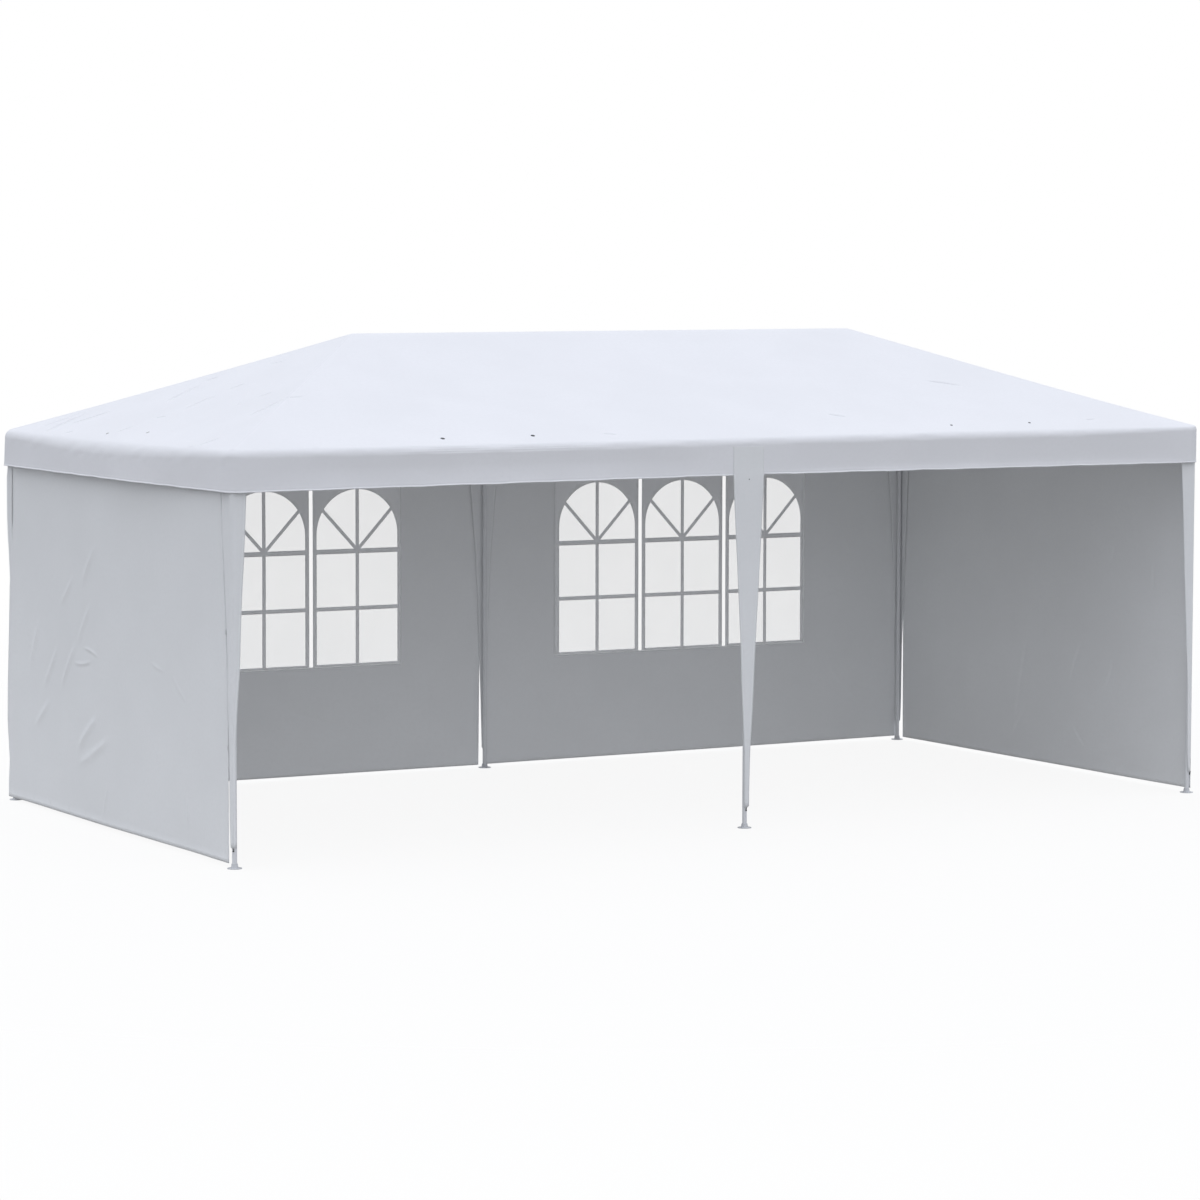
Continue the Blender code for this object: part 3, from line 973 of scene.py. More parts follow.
# The walls: flat cuts that hang outside the legs, each with soft folds of its own
wall = {
    "out": 0.0225,         # sheet to the leg axes
    "top": 2.055,
    "thick": 0.0006,
    "hemThick": 0.0016,
    "hem": 0.020,
    "hemLine": 0.0015,     # from the hem's inner edge to a second line
    "bandLine": 0.012,     # from the window opening to a line round it
    "step": 0.034,
    "spacing": 0.03,
    "broad": 1.5,          # lengths of its waves
    "mid": 0.55,
    "midShare": 0.22,
}
leftFolds = [
    ((0.21, 1.50), (0.42, 1.27), 0.022, 0.0080, 0.03),
    ((0.55, 1.31), (0.74, 1.15), 0.018, 0.0064, -0.03),
    ((0.30, 1.17), (0.48, 0.96), 0.020, 0.0072, 0.03),
    ((0.51, 0.95), (0.73, 0.69), 0.020, 0.0080, 0.03),
    ((0.78, 0.92), (1.00, 0.68), 0.020, 0.0080, -0.02),
    ((1.05, 1.05), (1.20, 0.74), 0.024, 0.0080, 0.03),
    ((0.18, 0.60), (0.50, 0.38), 0.022, 0.0080, 0.03),
    ((0.03, 0.50), (0.48, 0.31), 0.020, 0.0064, -0.02),
    ((0.90, 0.61), (1.12, 0.45), 0.020, 0.0072, 0.02),
    ((-0.47, 0.94), (-0.65, 0.91), 0.010, 0.0022, 0.05),
    ((-0.73, 0.92), (-0.95, 0.77), 0.013, 0.0024, 0.04),
    ((-0.55, 0.52), (-0.59, 0.42), 0.009, 0.0038, 0.04),
    ((-0.94, 0.30), (-0.94, 0.15), 0.010, 0.0042, 0.03),
    ((0.54, 0.85), (0.28, 0.88), 0.010, 0.0042, 0.04),
    ((0.40, 0.94), (0.19, 0.91), 0.009, 0.0038, -0.04),
    ((0.07, 0.24), (0.13, 0.08), 0.012, 0.0048, 0.03),
]
rightFolds = [
    ((-0.75, 1.38), (-0.71, 1.25), 0.010, 0.0024, 0.03),
    ((-0.45, 0.80), (-0.32, 0.51), 0.012, 0.0030, 0.03),
    ((-0.75, 0.70), (-0.67, 0.51), 0.012, 0.0030, -0.03),
    ((0.10, 0.80), (0.22, 0.22), 0.016, 0.0034, 0.02),
    ((-1.11, 1.30), (-1.11, 1.11), 0.012, 0.0024, 0.03),
    ((0.14, 0.30), (0.26, 0.13), 0.012, 0.0030, 0.03),
    ((-0.36, 0.28), (-0.50, 0.15), 0.012, 0.0030, 0.03),
]
rearLeftFolds = [
    ((-2.45, 0.52), (-2.20, 0.34), 0.016, 0.0030, 0.03),
    ((-0.42, 0.60), (-0.28, 0.30), 0.014, 0.0030, 0.03),
    ((-1.30, 0.42), (-1.02, 0.33), 0.014, 0.0026, -0.03),
]
rearRightFolds = [
    ((2.52, 1.42), (2.62, 1.20), 0.014, 0.0028, 0.03),
    ((0.30, 0.48), (0.44, 0.26), 0.014, 0.0028, 0.03),
    ((1.72, 0.44), (1.98, 0.33), 0.016, 0.0028, 0.03),
    ((2.46, 0.50), (2.70, 0.26), 0.016, 0.0030, -0.03),
]


def wallSwell(low, high, seed, folds, depth):
    # how far the cloth stands out from its plane: held at the legs and the eave, free between
    broad = unevenness(seed, wall["broad"])
    mid = unevenness(seed + 1, wall["mid"])

    def swell(u, v):
        held = smooth(u, low + 0.03, low + 0.45) * smooth(u, high - 0.03, high - 0.45)
        held = held * smooth(v, wall["top"] - 0.05, wall["top"] - 0.5)
        waves = depth * broad(u, v * 0.5) + wall["midShare"] * depth * mid(u, v * 0.6)
        return held * waves + creaseHeight(u, v, folds) * np.minimum(1, held * 4 + 0.1)

    return swell


def hangWall(name, node, corners, folds, seed, place, flip, depth, band=None):
    # corners run anticlockwise in the wall's own plane, from its lower left
    w = wall
    us = [corner[0] for corner in corners]
    swell = wallSwell(min(us), max(us), seed, folds, depth)
    lines = []
    for distance in (w["hem"], w["hem"] + w["hemLine"]):
        ring = inset(corners, distance)
        lines.append(walk([ring[3], ring[0], ring[1], ring[2]], w["spacing"], False))
    holes = []
    segments = [(corners[3], corners[0]), (corners[0], corners[1]), (corners[1], corners[2])]
    area = 0.5 * abs(sum(a[0] * b[1] - b[0] * a[1] for a, b in around(corners)))
    if band:
        low, high, foot, top = band
        opening = rectangle(*band)
        holes.append(walk(opening, w["spacing"]))
        ring = inset(opening, -w["bandLine"])
        lines.append(walk(ring + ring[:1], w["spacing"], False))
        segments += around(opening)
        area -= (high - low) * (top - foot)
    flat, faces, _ = cutCloth(walk(corners, w["spacing"]), holes, lines, w["step"], folds)
    points = place(flat[:, 0], flat[:, 1], swell(flat[:, 0], flat[:, 1]))
    maps = flatMaps(flat, faces, segments)
    piece = sewSheet(name, points, faces, maps, w["thick"], w["hemThick"], w["hem"], wallCloth, flip)
    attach(piece, "root")
    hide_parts(node)
    return swell


# The left wall's edges: its front one lies flatter behind the leg cover, and both wander along Y
leftEdges = {
    "press": 0.0026,
    "pressAcross": (1.38, 1.44),
    "pressUp": (0.45, 0.80),
    "rearReach": (0.90, 1.50),  # where an edge's drift sets in and is whole
    "frontReach": (0.86, 1.46),
}
# by height: the wall's top is drawn together
rearDrift = ((0.02, 0.008), (0.106, 0.005), (0.22, -0.012), (0.443, 0.016), (0.668, 0.006), (0.893, -0.013),
             (1.118, -0.030), (1.20, -0.036), (1.30, -0.048), (1.43, -0.066), (1.568, -0.094), (1.85, -0.099),
             (2.04, -0.100))
frontDrift = ((0.09, 0.0), (0.52, 0.006), (0.93, 0.022), (1.178, 0.038), (1.43, 0.060), (1.65, 0.082),
              (1.85, 0.096), (2.04, 0.100))


def endPlace(side):
    e = leftEdges

    def place(u, v, swell):
        if side < 0:
            swell = swell - e["press"] * smooth(-u, *e["pressAcross"]) * smooth(v, *e["pressUp"])
            u = u + read(rearDrift, v) * smooth(u, *e["rearReach"])
            u = u + read(frontDrift, v) * smooth(-u, *e["frontReach"])
        return np.column_stack([side * (legX + wall["out"] + swell), u, v])

    return place


def rearPlace(u, v, swell):
    return np.column_stack([u, legY + wall["out"] + swell, v])


leftCut = [(-1.443, 0.026), (1.503, 0.016), (1.503, 2.040), (-1.464, 2.040)]
rightCut = [(-1.465, 0.024), (1.430, 0.018), (1.450, 2.055), (-1.462, 2.055)]
rearLeftCut = [(-2.972, 0.024), (-0.031, 0.016), (-0.010, 2.055), (-2.974, 2.055)]
rearRightCut = [(0.004, 0.018), (2.975, 0.022), (2.966, 2.055), (0.008, 2.055)]
bandSize = {
    "left": (-2.334, -0.552, 0.648, 1.742),
    "right": (0.490, 2.272, 0.648, 1.742),
}
hangWall("wall_end_left", "end_wall_left", leftCut, leftFolds, seed=31, place=endPlace(-1), flip=True,
         depth=0.007)
hangWall("wall_end_right", "end_wall_right", rightCut, rightFolds, seed=41, place=endPlace(1), flip=False,
         depth=0.005)
rearSwell = {
    "left": hangWall("wall_rear_left", "rear_wall_left", rearLeftCut, rearLeftFolds, seed=51, place=rearPlace,
                     flip=True, depth=0.004, band=bandSize["left"]),
    "right": hangWall("wall_rear_right", "rear_wall_right", rearRightCut, rearRightFolds, seed=61,
                      place=rearPlace, flip=True, depth=0.004, band=bandSize["right"]),
}
print("walls made")


# Windows: a band of clear film sewn into each rear wall, with the arched lights left clear in its print
window = {
    "pitch": 0.600,
    "half": 0.263,
    "foot": 0.664,
    "spring": 1.420,
    "bar": 0.011,          # half widths of the bars
    "springBar": (1.308, 1.336),
    "midBar": (0.976, 0.999),
    "spoke": 0.010,
    "spokeEnd": (0.236, 0.250),
    "stripHalf": 0.012,
    "stripMargin": 0.002,  # the film is clearer this far round a strip
    "stripEnd": 0.004,     # from a strip to the end of the band
    "firstLight": {"left": -2.033, "right": 0.785},
    "lap": 0.012,          # the film laps the wall's outer face by a sewing margin
    "film": {"spacing": 0.04, "step": 0.045, "out": 0.0012, "thick": 0.0004},
    "printInset": 0.0008,
    "print": {"spacing": 0.03, "step": 0.03, "out": 0.0008, "thick": 0.0003},
}


def arcPoints(centre, radius, start, end, spacing=0.014):
    count = max(2, round(abs(end - start) * radius / spacing))
    turns = [start + (end - start) * k / count for k in range(count + 1)]
    return [(centre[0] + radius * math.cos(t), centre[1] + radius * math.sin(t)) for t in turns]


def lightPanes(middle):
    # the clear panes of one arched light: four below the spring bar and four in the fan above it
    w = window
    panes = []
    bar = w["bar"]
    levels = ((w["foot"], w["midBar"][0]), (w["midBar"][1], w["springBar"][0]))
    for low, high in levels:
        panes.append(rectangle(middle - w["half"], middle - bar, low, high))
        panes.append(rectangle(middle + bar, middle + w["half"], low, high))
    base = w["springBar"][1]
    hub = np.array((0.0, base - 0.008))
    way = np.array(w["spokeEnd"]) / math.hypot(*w["spokeEnd"])
    side = np.array((-way[1], way[0]))
    radius = w["half"]
    centre = np.array((0.0, w["spring"]))

    def meet(start, heading):
        # where a line from start meets the arch, or the straight side below it
        rel = start - centre
        b = rel @ heading
        t = -b + math.sqrt(b * b - rel @ rel + radius * radius)
        return start + heading * t

    lowStart = hub - side * w["spoke"]
    lowMeet = meet(lowStart, way)
    alongBase = lowStart + way * ((base - lowStart[1]) / way[1])
    highStart = hub + side * w["spoke"]
    highMeet = meet(highStart, way)
    upBar = highStart + way * ((bar - highStart[0]) / way[0])
    barMeet = meet(np.array((bar, w["spring"])), np.array((0.0, 1.0)))
    lowAngle = math.atan2(*(lowMeet - centre)[::-1])
    highAngle = math.atan2(*(highMeet - centre)[::-1])
    barAngle = math.atan2(*(barMeet - centre)[::-1])
    lower = [tuple(alongBase), (radius, base)] + arcPoints(centre, radius, 0.0, lowAngle)
    upper = [tuple(upBar)] + arcPoints(centre, radius, highAngle, barAngle)
    for shape in (lower, upper):
        panes.append([(middle + u, v) for u, v in shape])
        panes.append([(middle - u, v) for u, v in shape[::-1]])
    return panes


def bandSheet(name, side, corners, holes, sheet, material):
    # a thin sheet that follows the rear wall's folds
    flat, faces, _ = cutCloth(walk(corners, sheet["spacing"]), holes, (), sheet["step"])
    u, v = flat[:, 0], flat[:, 1]
    points = rearPlace(u, v, rearSwell[side](u, v) + sheet["out"])
    maps = flatMaps(flat, faces, around(corners))
    return sewSheet(name, points, faces, maps, sheet["thick"], sheet["thick"], 0.0, material, True)


def makeWindows(side):
    w = window
    low, high, foot, top = bandSize[side]
    first = w["firstLight"][side]
    lights = [first + k * w["pitch"] for k in range(3)]
    strips = [lights[0] + w["pitch"] / 2, lights[1] + w["pitch"] / 2]
    lap = w["lap"]
    corners = rectangle(low - lap, high + lap, foot - lap, top + lap)
    material = clearFilm("clearFilm_" + side, strips, w["stripHalf"] + w["stripMargin"])
    sheet = bandSheet("window_sheet_" + side, side, corners, (), w["film"], material)
    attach(sheet, "root")
    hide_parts("window_film_" + side)

    panes = []
    for middle in lights:
        panes += lightPanes(middle)
    half, end = w["stripHalf"], w["stripEnd"]
    for middle in strips:
        panes.append(rectangle(middle - half, middle + half, foot + end, top - end))
    holes = [walk(pane, w["print"]["spacing"]) for pane in panes]
    gap = w["printInset"]
    corners = rectangle(low + gap, high - gap, foot + gap, top - gap)
    printed = bandSheet("window_print_" + side, side, corners, holes, w["print"], windowPrint)
    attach(printed, "root")


for side in bandSize:
    makeWindows(side)
print("windows made")


# Leg covers: strips that taper to the foot, flat at the middle legs and round the corner at the others
cover = {
    "out": 0.0180,         # sheet to the leg axes
    "corner": 0.0175,
    "top": {"corner": 2.044, "middle": 2.060, "sewn": 2.030},
    "tipRise": 0.06,       # how far up the pointed foot is felt
    "thick": 0.0007,
    "hemThick": 0.0016,
    "hem": 0.009,
    "rows": 72,
    "columns": 13,
    "hemStep": 0.0012,     # over which the hem's thickness ends
    "waves": 0.5,          # length of its waves
    "waveHeight": {"corner": 0.0004, "middle": 0.0010},
    "puffReach": 0.050,
    "sewnHeight": 1.8815,  # the front middle cover is sewn to the valance above this
    "sewnLevels": (0.42, 0.52, 1.8815, 1.8830, 2.0285),  # rows of its own, beside the even ones
    "shift": -0.010,       # its top sits this far to the side of the leg
    "shiftFrom": 0.1,
    "shiftOver": 1.78,
    "softTop": 0.15,       # below its top it loses its waves
}
# height and how far the cloth reaches from the leg axis at that height
reaches = {
    "usual": ((0.12, 0.006), (0.25, 0.013), (0.60, 0.018), (0.91, 0.033), (1.21, 0.049), (1.43, 0.060),
              (1.66, 0.070), (1.80, 0.079), (1.88, 0.083), (2.05, 0.090)),
    "frontLeft": ((0.10, 0.0045), (0.49, 0.003), (0.613, 0.002), (0.687, 0.0057), (0.786, 0.0110),
                  (0.83, 0.0135), (0.985, 0.0255), (1.23, 0.0335), (1.376, 0.0412), (1.52, 0.0495),
                  (1.67, 0.0572), (1.88, 0.066), (2.05, 0.072)),
    "frontLeftSide": ((0.12, 0.006), (0.25, 0.013), (0.60, 0.018), (0.91, 0.036), (1.18, 0.060),
                      (1.43, 0.088), (1.568, 0.102), (1.80, 0.112), (2.05, 0.118)),
    "rearLeftSide": ((0.12, 0.006), (0.25, 0.012), (0.60, 0.018), (1.20, 0.027), (1.45, 0.034),
                     (1.568, 0.037), (1.85, 0.0405), (2.05, 0.042)),
    "rearRight": ((0.12, 0.005), (0.249, 0.007), (0.60, 0.013), (0.982, 0.022), (1.35, 0.045),
                  (1.698, 0.072), (1.88, 0.083), (2.05, 0.090)),
    "rearMiddle": ((0.12, 0.0105), (0.164, 0.011), (0.404, 0.018), (0.704, 0.029), (1.003, 0.039),
                   (1.302, 0.055), (1.683, 0.089), (1.88, 0.097), (2.06, 0.102)),
    "middleLeft": ((0.10, 0.0130), (0.20, 0.0135), (0.42, 0.0150), (0.52, 0.0215), (0.62, 0.0265),
                   (0.72, 0.0335), (0.86, 0.0394), (1.0, 0.0455), (1.47, 0.0735), (1.70, 0.0870),
                   (1.88, 0.0962)),
    "middleRight": ((0.10, 0.0160), (0.20, 0.0165), (0.33, 0.0188), (0.45, 0.0220), (0.52, 0.0268),
                    (0.62, 0.0329), (1.0, 0.0495), (1.5, 0.0760), (1.88, 0.0930)),
}
# each cover: its first and second edge, the height of its foot and how far its tip hangs below that
coverShapes = {
    "front_left": ("frontLeftSide", "frontLeft", 0.108, 0.010),
    "front_middle": ("middleLeft", "middleRight", 0.119, 0.0135),
    "front_right": ("usual", "usual", 0.125, 0.009),
    "rear_left": ("rearLeftSide", "usual", 0.120, 0.012),
    "rear_middle": ("rearMiddle", "rearMiddle", 0.120, 0.012),
    "rear_right": ("usual", "rearRight", 0.123, 0.016),
}
# the rear left cover's corner puffs out beside the end wall: height and distance
puffOut = ((1.05, 0.0), (1.20, 0.003), (1.33, 0.009), (1.41, 0.012), (1.49, 0.017), (1.60, 0.0195),
           (1.80, 0.0190), (1.86, 0.0130), (1.92, 0.0085), (2.044, 0.004))
# the front middle cover hangs from the valance: height and distance to the leg axis
sewnOut = ((0.12, 0.0180), (1.879, 0.0425), (1.889, 0.0421), (1.905, 0.0411), (2.030, 0.0410))


def coverOut(name, level):
    return float(read(sewnOut, level)) if name == "front_middle" else cover["out"]


def makeCover(name, turnX, turnY):
    # turnX and turnY say which way the cover faces; a middle cover faces along Y alone
    c = cover
    corner = turnX != 0
    sewn = name == "front_middle"
    kind = "corner" if corner else "middle"
    firstReach, secondReach, foot, tip = coverShapes[name]
    top = c["top"]["sewn" if sewn else kind]
    levels = np.linspace(foot, top, c["rows"] + 1)
    if sewn:
        levels = np.sort(np.append(levels, c["sewnLevels"]))
    arc = c["corner"] * math.pi / 2
    extra = arc / 2 + c["out"] - c["corner"] if corner else 0.0
    wave = unevenness(sum(ord(letter) for letter in name), c["waves"])
    points = []
    maps = []
    edges = []
    for level in levels:
        first = extra + float(read(reaches[firstReach], level))
        second = extra + float(read(reaches[secondReach], level))
        first + second
        out = coverOut(name, level)
        puff = float(read(puffOut, level)) if name == "rear_left" else 0.0
        placed = []
        for way, half in ((-1, first), (1, second)):
            hem = min(c["hem"], half * 0.5)
            inner = half - hem - c["hemStep"]
            side = [half, half - hem, inner] + list(np.linspace(inner, 0, c["columns"] + 1)[1:-1])
            placed += [(way * s, half) for s in side]
        placed.append((0.0, first))
        shift = c["shift"] * (level - c["shiftFrom"]) / c["shiftOver"] if sewn else 0.0
        for s, half in sorted(placed):
            z = level
            if level < foot + c["tipRise"]:
                z = level - tip * (1 - abs(s) / half) * (1 - (level - foot) / c["tipRise"])
            soft = c["waveHeight"][kind] * float(wave(s * 3, level)) * min(1, half / 0.05)
            soft = soft * float(smooth((c["sewnHeight"] if sewn else top) - level, 0.0, c["softTop"]))
            if corner:
                # round the corner: from the X face's far edge over the rounded corner to the Y face
                r = c["corner"]
                if abs(s) <= arc / 2:
                    turn = (s / arc + 0.5) * math.pi / 2
                    x = out - r + (r + soft) * math.cos(turn)
                    y = out - r + (r + soft) * math.sin(turn)
                    x = x + puff * (0.5 - s / arc)
                elif s < 0:
                    x = out + soft + puff * float(smooth(s, -arc / 2 - c["puffReach"], -arc / 2))
                    y = out - r - (-s - arc / 2)
                else:
                    x = out - r - (s - arc / 2)
                    y = out + soft
                points.append((turnX * (legX + x), turnY * (legY + y), z))
            else:
                points.append((s + shift, turnY * (legY + out + soft), z))
            maps.append((s, level))
            # the part that is sewn to the valance has no hem of its own
            noHem = sewn and level > c["sewnHeight"] + 0.001
            edges.append((level, half - abs(s) + (0.05 if noHem else 0.0)))
    wide = 2 * (c["columns"] + 2) + 1
    faces = []
    for row in range(len(levels) - 1):
        for k in range(wide - 1):
            a = row * wide + k
            faces.append([a, a + 1, a + wide + 1, a + wide])
    points = np.array(points)
    maps = [cornerPairs(faces, np.array(pairs)) for pairs in (maps, edges)]
    a, b, d = points[faces[0][0]], points[faces[0][1]], points[faces[0][3]]
    facing = np.cross(b - a, d - a) @ np.array((turnX, turnY, 0.0))
    piece = sewSheet("cover_" + name, points, faces, maps, c["thick"], c["hemThick"], c["hem"], coverCloth,
                     facing < 0)
    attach(piece, "root")
    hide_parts("leg_cover_" + name)


for place in legPlaces:
    makeCover(*place)
print("leg covers made")


# Small parts are built with bmesh and joined into one piece for each place
def newPiece(name, bm, material):
    mesh = bpy.data.meshes.new(name)
    bmesh.ops.recalc_face_normals(bm, faces=bm.faces)
    bm.to_mesh(mesh)
    bm.free()
    mesh.polygons.foreach_set("use_smooth", [True] * len(mesh.polygons))
    mesh.materials.append(material)
    piece = bpy.data.objects.new(name, mesh)
    bpy.context.scene.collection.objects.link(piece)
    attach(piece, "root")
    return piece


def roundRing(bm, middle, side, other, radius, steps):
    ring = []
    for k in range(steps):
        turn = 2 * math.pi * k / steps
        ring.append(bm.verts.new(middle + (side * math.cos(turn) + other * math.sin(turn)) * radius))
    return ring


def joinRings(bm, low, high):
    for k in range(len(low)):
        after = (k + 1) % len(low)
        bm.faces.new((low[k], low[after], high[after], high[k]))


def closeEnds(bm, rings):
    bm.faces.new(rings[0][::-1])
    bm.faces.new(rings[-1])


def lathe(bm, centre, axis, profile, steps, hollow=False):
    # profile pairs are (radius, height along the axis); a hollow one joins its last ring to its first
    axis = Vector(axis).normalized()
    side = axis.orthogonal().normalized()
    other = axis.cross(side)
    centre = Vector(centre)
    rings = [roundRing(bm, centre + axis * height, side, other, radius, steps) for radius, height in profile]
    for low, high in zip(rings, rings[1:]):
        joinRings(bm, low, high)
    if hollow:
        joinRings(bm, rings[-1], rings[0])
    else:
        closeEnds(bm, rings)


def rodAlong(bm, path, radius, steps):
    # a round rod along points, closed at both ends
    path = [Vector(p) for p in path]
    rings = []
    normal = None
    for i, point in enumerate(path):
        ahead = (path[min(i + 1, len(path) - 1)] - path[max(i - 1, 0)]).normalized()
        if normal is None:
            normal = ahead.orthogonal().normalized()
        normal = (normal - ahead * normal.dot(ahead)).normalized()
        rings.append(roundRing(bm, point, normal, ahead.cross(normal), radius, steps))
    for low, high in zip(rings, rings[1:]):
        joinRings(bm, low, high)
    closeEnds(bm, rings)


# Eyelets near the roof's lower edge: place, ring radius, and whether a dark domed disc fills its hole as
# painted shade
eyelet = {
    "places": [
        (-1.768, -1.382, 0.0115, True),
        (-1.242, -1.374, 0.0110, True),
        (1.374, -1.375, 0.0074, True),
        (1.906, -1.366, 0.0074, True),
        (-2.860, -0.168, 0.0095, False),
        (-2.915, 0.241, 0.0095, False),
        (2.895, -0.196, 0.0095, False),
        (2.895, 0.241, 0.0095, False),
        (-1.850, 1.370, 0.0074, True),
        (-1.300, 1.370, 0.0074, True),
        (1.300, 1.370, 0.0074, True),
        (1.850, 1.370, 0.0074, True),
    ],
    "hole": 0.48,          # share of the ring's radius
    "height": 0.0012,
    "out": 0.0009,         # from the middle of the cloth
    "steps": 20,
    # the dark dome's foot and profile: painted shade that stands in for the shaded inside seen through the
    # eyelet's hole
    "holeShadeFoot": -0.0004,
    "holeShadeDome": ((1.0, 0.5), (0.86, 1.0), (0.3, 1.3)),  # shares of radius and height
}


def ringProfile(radius):
    inner = radius * eyelet["hole"]
    middle = (radius + inner) / 2
    half = (radius - inner) / 2
    turns = np.linspace(0, 2 * math.pi, 9)[:-1]
    return [(middle + half * math.cos(turn), eyelet["height"] * math.sin(turn)) for turn in turns]


def slopeNormal(x, y):
    d = 0.02
    z = slopeZ(np.array((x + d, x - d, x, x)), np.array((y, y, y + d, y - d)))
    return Vector((-(z[0] - z[1]) / (2 * d), -(z[2] - z[3]) / (2 * d), 1)).normalized()


def makeRoofEyelets():
    rings = bmesh.new()
    holeShades = bmesh.new()
    for x, y, radius, holeShaded in eyelet["places"]:
        normal = slopeNormal(x, y)
        z = float(slopeZ(np.array([x]), np.array([y]))[0])
        centre = Vector((x, y, z)) + normal * eyelet["out"]
        if holeShaded:
            # a near-black dome over the eyelet: painted shade of its open hole
            profile = [(radius, eyelet["holeShadeFoot"])]
            profile += [(radius * across, eyelet["height"] * up) for across, up in eyelet["holeShadeDome"]]
            lathe(holeShades, centre, normal, profile, eyelet["steps"])
        else:
            lathe(rings, centre, normal, ringProfile(radius), eyelet["steps"], True)
    newPiece("roof_eyelets", rings, eyeletMetal)
    # the dark domes are painted shade of the eyelet holes
    newPiece("roof_hole_shades", holeShades, hookPlastic)


def ball(bm, centre, radius):
    turns = np.linspace(-math.pi / 2, math.pi / 2, 9)[1:-1]
    profile = [(radius * math.cos(turn), radius * math.sin(turn)) for turn in turns]
    lathe(bm, centre, (0, 0, 1), profile, hook["ballSteps"])


hook = {
    "rod": 0.0013,
    "rodSteps": 8,
    "grip": 0.0027,        # the clip's rod to the middle of the cloth
    "gripHeight": 0.008,
    "drop": 0.0010,        # the bend's centre below the tip
    "ball": 0.0042,
    "ballDrop": 0.0095,    # the ball's middle below the tip
    "ballGap": 0.0002,     # from the ball to the leg
    "ballSteps": 14,
}


def makeCoverHooks():
    h = hook
    for name, turnX, turnY in legPlaces:
        foot, tip = coverShapes[name][2:]
        way = Vector((turnX, turnY, 0)).normalized()
        leg = Vector((turnX * legX, turnY * legY, 0))
        reach = cover["out"]
        if turnX:
            reach = (reach - cover["corner"]) * math.sqrt(2) + cover["corner"]
        z = foot - tip
        bm = bmesh.new()
        path = [leg + way * (reach + h["grip"]) + Vector((0, 0, z + h["gripHeight"]))]
        for turn in np.linspace(0, math.pi, 9):
            out = reach + h["grip"] * math.cos(turn)
            path.append(leg + way * out + Vector((0, 0, z - h["drop"] - h["grip"] * math.sin(turn))))
        path.append(leg + way * (reach - h["grip"]) + Vector((0, 0, z + h["gripHeight"])))
        rodAlong(bm, path, h["rod"], h["rodSteps"])
        out = stand["tubeRadius"] + h["ball"] + h["ballGap"]
        ball(bm, leg + way * out + Vector((0, 0, z - h["ballDrop"])), h["ball"])
        newPiece("cover_hook_" + name, bm, hookPlastic)


# A press stud on the front middle cover, near the valance
stud = {
    "place": (-0.009, 1.858),
    "out": 0.0006,
    "profile": ((0.0030, -0.0006), (0.0030, 0.0004), (0.0018, 0.0012)),
    "steps": 16,
}


def makeSnap():
    x, z = stud["place"]
    bm = bmesh.new()
    out = coverOut("front_middle", z) + cover["thick"] / 2 + stud["out"]
    lathe(bm, (x, -legY - out, z), (0, -1, 0), stud["profile"], stud["steps"])
    newPiece("cover_snap", bm, snapMetal)


makeRoofEyelets()
makeCoverHooks()
makeSnap()
print("eyelets and hooks made")


# Loops of webbing carry the walls on the eave tubes
webLoop = {
    "pitch": 0.46,
    "width": 0.020,
    "thick": 0.0009,
    "gap": 0.0006,         # to the tube
    "wallGap": 0.0004,
    "drop": 0.016,
    "ends": 0.12,          # from a tube's end to where its loops begin
    "steps": 24,
}


def makeLoops(start, end, outward):
    # an oval round the tube that reaches the wall on its outer side
    w = webLoop
    bm = bmesh.new()
    start, end, outward = Vector(start), Vector(end), Vector(outward)
    along = (end - start).normalized()
    length = (end - start).length
    count = max(2, round(length / w["pitch"]))
    inner = stand["tubeRadius"] + w["gap"]
    for k in range(count):
        middle = start + along * length * (k + 0.5) / count
        rings = []
        for shift in (-w["width"] / 2, w["width"] / 2):
            for thick in (0, w["thick"]):
                ring = []
                for i in range(w["steps"]):
                    turn = 2 * math.pi * i / w["steps"]
                    reach = inner + thick
                    stretch = (wall["out"] - w["wallGap"] - w["thick"]) / inner if math.cos(turn) > 0 else 1.0
                    drop = w["drop"] * max(0.0, math.cos(turn)) ** 2
                    place = outward * math.cos(turn) * (inner * stretch + thick)
                    place = place + Vector((0, 0, math.sin(turn) * reach - drop))
                    ring.append(bm.verts.new(middle + along * shift + place))
                rings.append(ring)
        inLow, outLow, inHigh, outHigh = rings
        for low, high in ((inLow, outLow), (outLow, outHigh), (outHigh, inHigh), (inHigh, inLow)):
            joinRings(bm, low, high)
    return bm


def uvFromPlace(piece):
    # webbing has no cut plan, so its maps are its own metres, and its edges lie far from any stitch
    mesh = piece.data
    for title, away in (("cloth", 0.0), ("edge", 1.0)):
        layer = mesh.uv_layers.new(name=title)
        for corner, loopItem in enumerate(mesh.loops):
            p = mesh.vertices[loopItem.vertex_index].co
            layer.data[corner].uv = (p.x + p.y, p.z + away)


def makeWallLoops():
    endY = legY - webLoop["ends"]
    nearX, farX = webLoop["ends"], legX - webLoop["ends"]
    places = {
        "end_left": ((-legX, -endY, eaveZ), (-legX, endY, eaveZ), (-1, 0, 0)),
        "end_right": ((legX, -endY, eaveZ), (legX, endY, eaveZ), (1, 0, 0)),
        "rear_left": ((-farX, legY, eaveZ), (-nearX, legY, eaveZ), (0, 1, 0)),
        "rear_right": ((nearX, legY, eaveZ), (farX, legY, eaveZ), (0, 1, 0)),
    }
    for name, place in places.items():
        piece = newPiece("wall_loops_" + name, makeLoops(*place), wallCloth)
        uvFromPlace(piece)


makeWallLoops()
print("wall loops made")


# Finishes of the CAD nodes that stay
for name, node in nodes.items():
    if name.startswith("foot_"):
        material = footPlastic
    elif "connector" in name:
        material = fittingPaint
    else:
        material = tubePaint
    if not node.hide_render:
        node.data.materials.clear()
        node.data.materials.append(material)
        node.data.polygons.foreach_set("material_index", [0] * len(node.data.polygons))


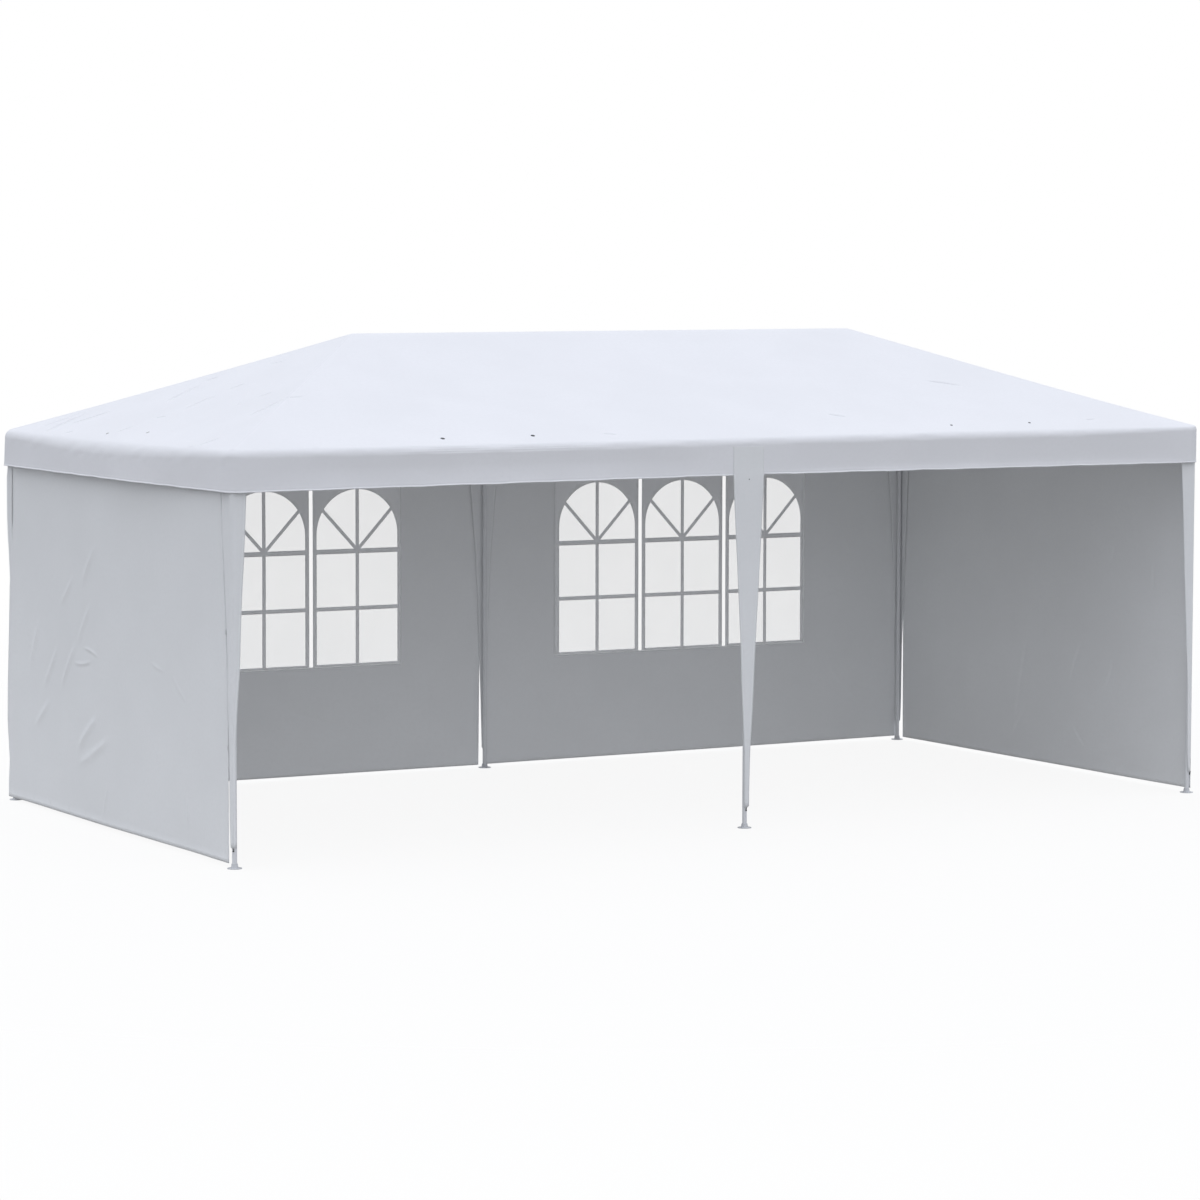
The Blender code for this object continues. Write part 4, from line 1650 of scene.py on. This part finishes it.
# Floor, light and camera
studio = {
    "floor": (0.50, 0.49, 0.47),
    "floorGlow": 0.109,    # light that comes back from the floor under the roof
    "underRoof": (2.97, 1.46),
    "floorShown": (0.90, 0.90, 0.90),
    "floorWhite": 0.90,    # how much of the floor's picture is plain white
    "floorReach": (4.0, 15.0),  # where it starts to fade out, and where it's gone
    "floorRadius": 16.0,
    "floorDrop": 0.0005,
    "sky": (0.955, 0.985, 1.055),
    "zenith": 1.248,
    "horizon": 0.825,
    "power": 3.0,
}


def makeStudio():
    s = studio
    bm = bmesh.new()
    bmesh.ops.create_circle(bm, cap_ends=True, radius=s["floorRadius"], segments=96)
    mesh = bpy.data.meshes.new("floor")
    bm.to_mesh(mesh)
    bm.free()
    floor = bpy.data.objects.new("floor", mesh)
    floor.location = (0, 0, -s["floorDrop"])
    bpy.context.scene.collection.objects.link(floor)
    paint = Finish("floorPaint")
    place = paint.place()
    far = paint.wire("ShaderNodeVectorMath", {"operation": "LENGTH"}, {0: place}, 1)
    plan = paint.node("ShaderNodeSeparateXYZ", None, {0: place})
    under = Wire(paint, plan.outputs[0]).size().below(s["underRoof"][0])
    under = under * Wire(paint, plan.outputs[1]).size().below(s["underRoof"][1])
    seen = paint.wire("ShaderNodeLightPath", None, None, "Is Camera Ray")
    hue = paint.mix(seen, tint(s["floor"]), tint(s["floorShown"], 1 - s["floorWhite"]))
    matt = paint.wire("ShaderNodeBsdfDiffuse", None, {"Color": hue})
    level = (1.0 - seen) * under * s["floorGlow"] + seen * s["floorWhite"]
    glow = paint.wire("ShaderNodeEmission", None, {"Color": (1, 1, 1, 1), "Strength": level})
    flat = paint.wire("ShaderNodeAddShader", None, {0: matt, 1: glow})
    clear = paint.wire("ShaderNodeBsdfTransparent", None, {"Color": (1, 1, 1, 1)})
    joined = paint.wire("ShaderNodeMixShader", None, {0: far.ramp(*s["floorReach"]), 1: flat, 2: clear})
    paint.node("ShaderNodeOutputMaterial", None, {"Surface": joined})
    mesh.materials.append(paint.holder)

    world = bpy.data.worlds.new("softSky")
    bpy.context.scene.world = world
    sky = Finish("softSky", world)
    heading = sky.wire("ShaderNodeTexCoord", None, None, "Generated")
    parts = sky.node("ShaderNodeSeparateXYZ", None, {0: heading})
    up = Wire(sky, parts.outputs[2])
    upper = up.maths("MAXIMUM", up, 0.0).power(s["power"]) * (s["zenith"] - s["horizon"]) + s["horizon"]
    level = upper * up.above(0.0)
    seen = sky.wire("ShaderNodeLightPath", None, None, "Is Camera Ray")
    level = level + seen * (1.0 - level)
    hue = sky.mix(seen, tint(s["sky"]), (1, 1, 1, 1))
    glow = sky.wire("ShaderNodeBackground", None, {"Color": hue, "Strength": level})
    sky.node("ShaderNodeOutputWorld", None, {"Surface": glow})
    bpy.context.scene.view_settings.view_transform = "Standard"


view = {
    "place": (-10.9332, -18.8942, 2.9160),
    "yaw": 0.52261,        # from +Y towards +X
    "pitch": 0.08257,      # downward
    "roll": 0.00257,
    "lens": 116.914,
}


def makeCamera():
    v = view
    yaw, pitch, roll = v["yaw"], v["pitch"], v["roll"]
    ahead = Vector((math.sin(yaw) * math.cos(pitch), math.cos(yaw) * math.cos(pitch), -math.sin(pitch)))
    level = Vector((math.cos(yaw), -math.sin(yaw), 0))
    up = level.cross(ahead)
    right = level * math.cos(roll) + up * math.sin(roll)
    top = up * math.cos(roll) - level * math.sin(roll)
    data = bpy.data.cameras.new("camera")
    data.lens = v["lens"]
    data.sensor_width = 36.0
    data.sensor_fit = "HORIZONTAL"
    data.clip_end = 200.0
    camera = bpy.data.objects.new("camera", data)
    bpy.context.scene.collection.objects.link(camera)
    turned = Matrix((right, top, -ahead)).transposed().to_4x4()
    camera.matrix_world = Matrix.Translation(v["place"]) @ turned
    bpy.context.scene.camera = camera


makeStudio()
makeCamera()
print("studio and camera set")
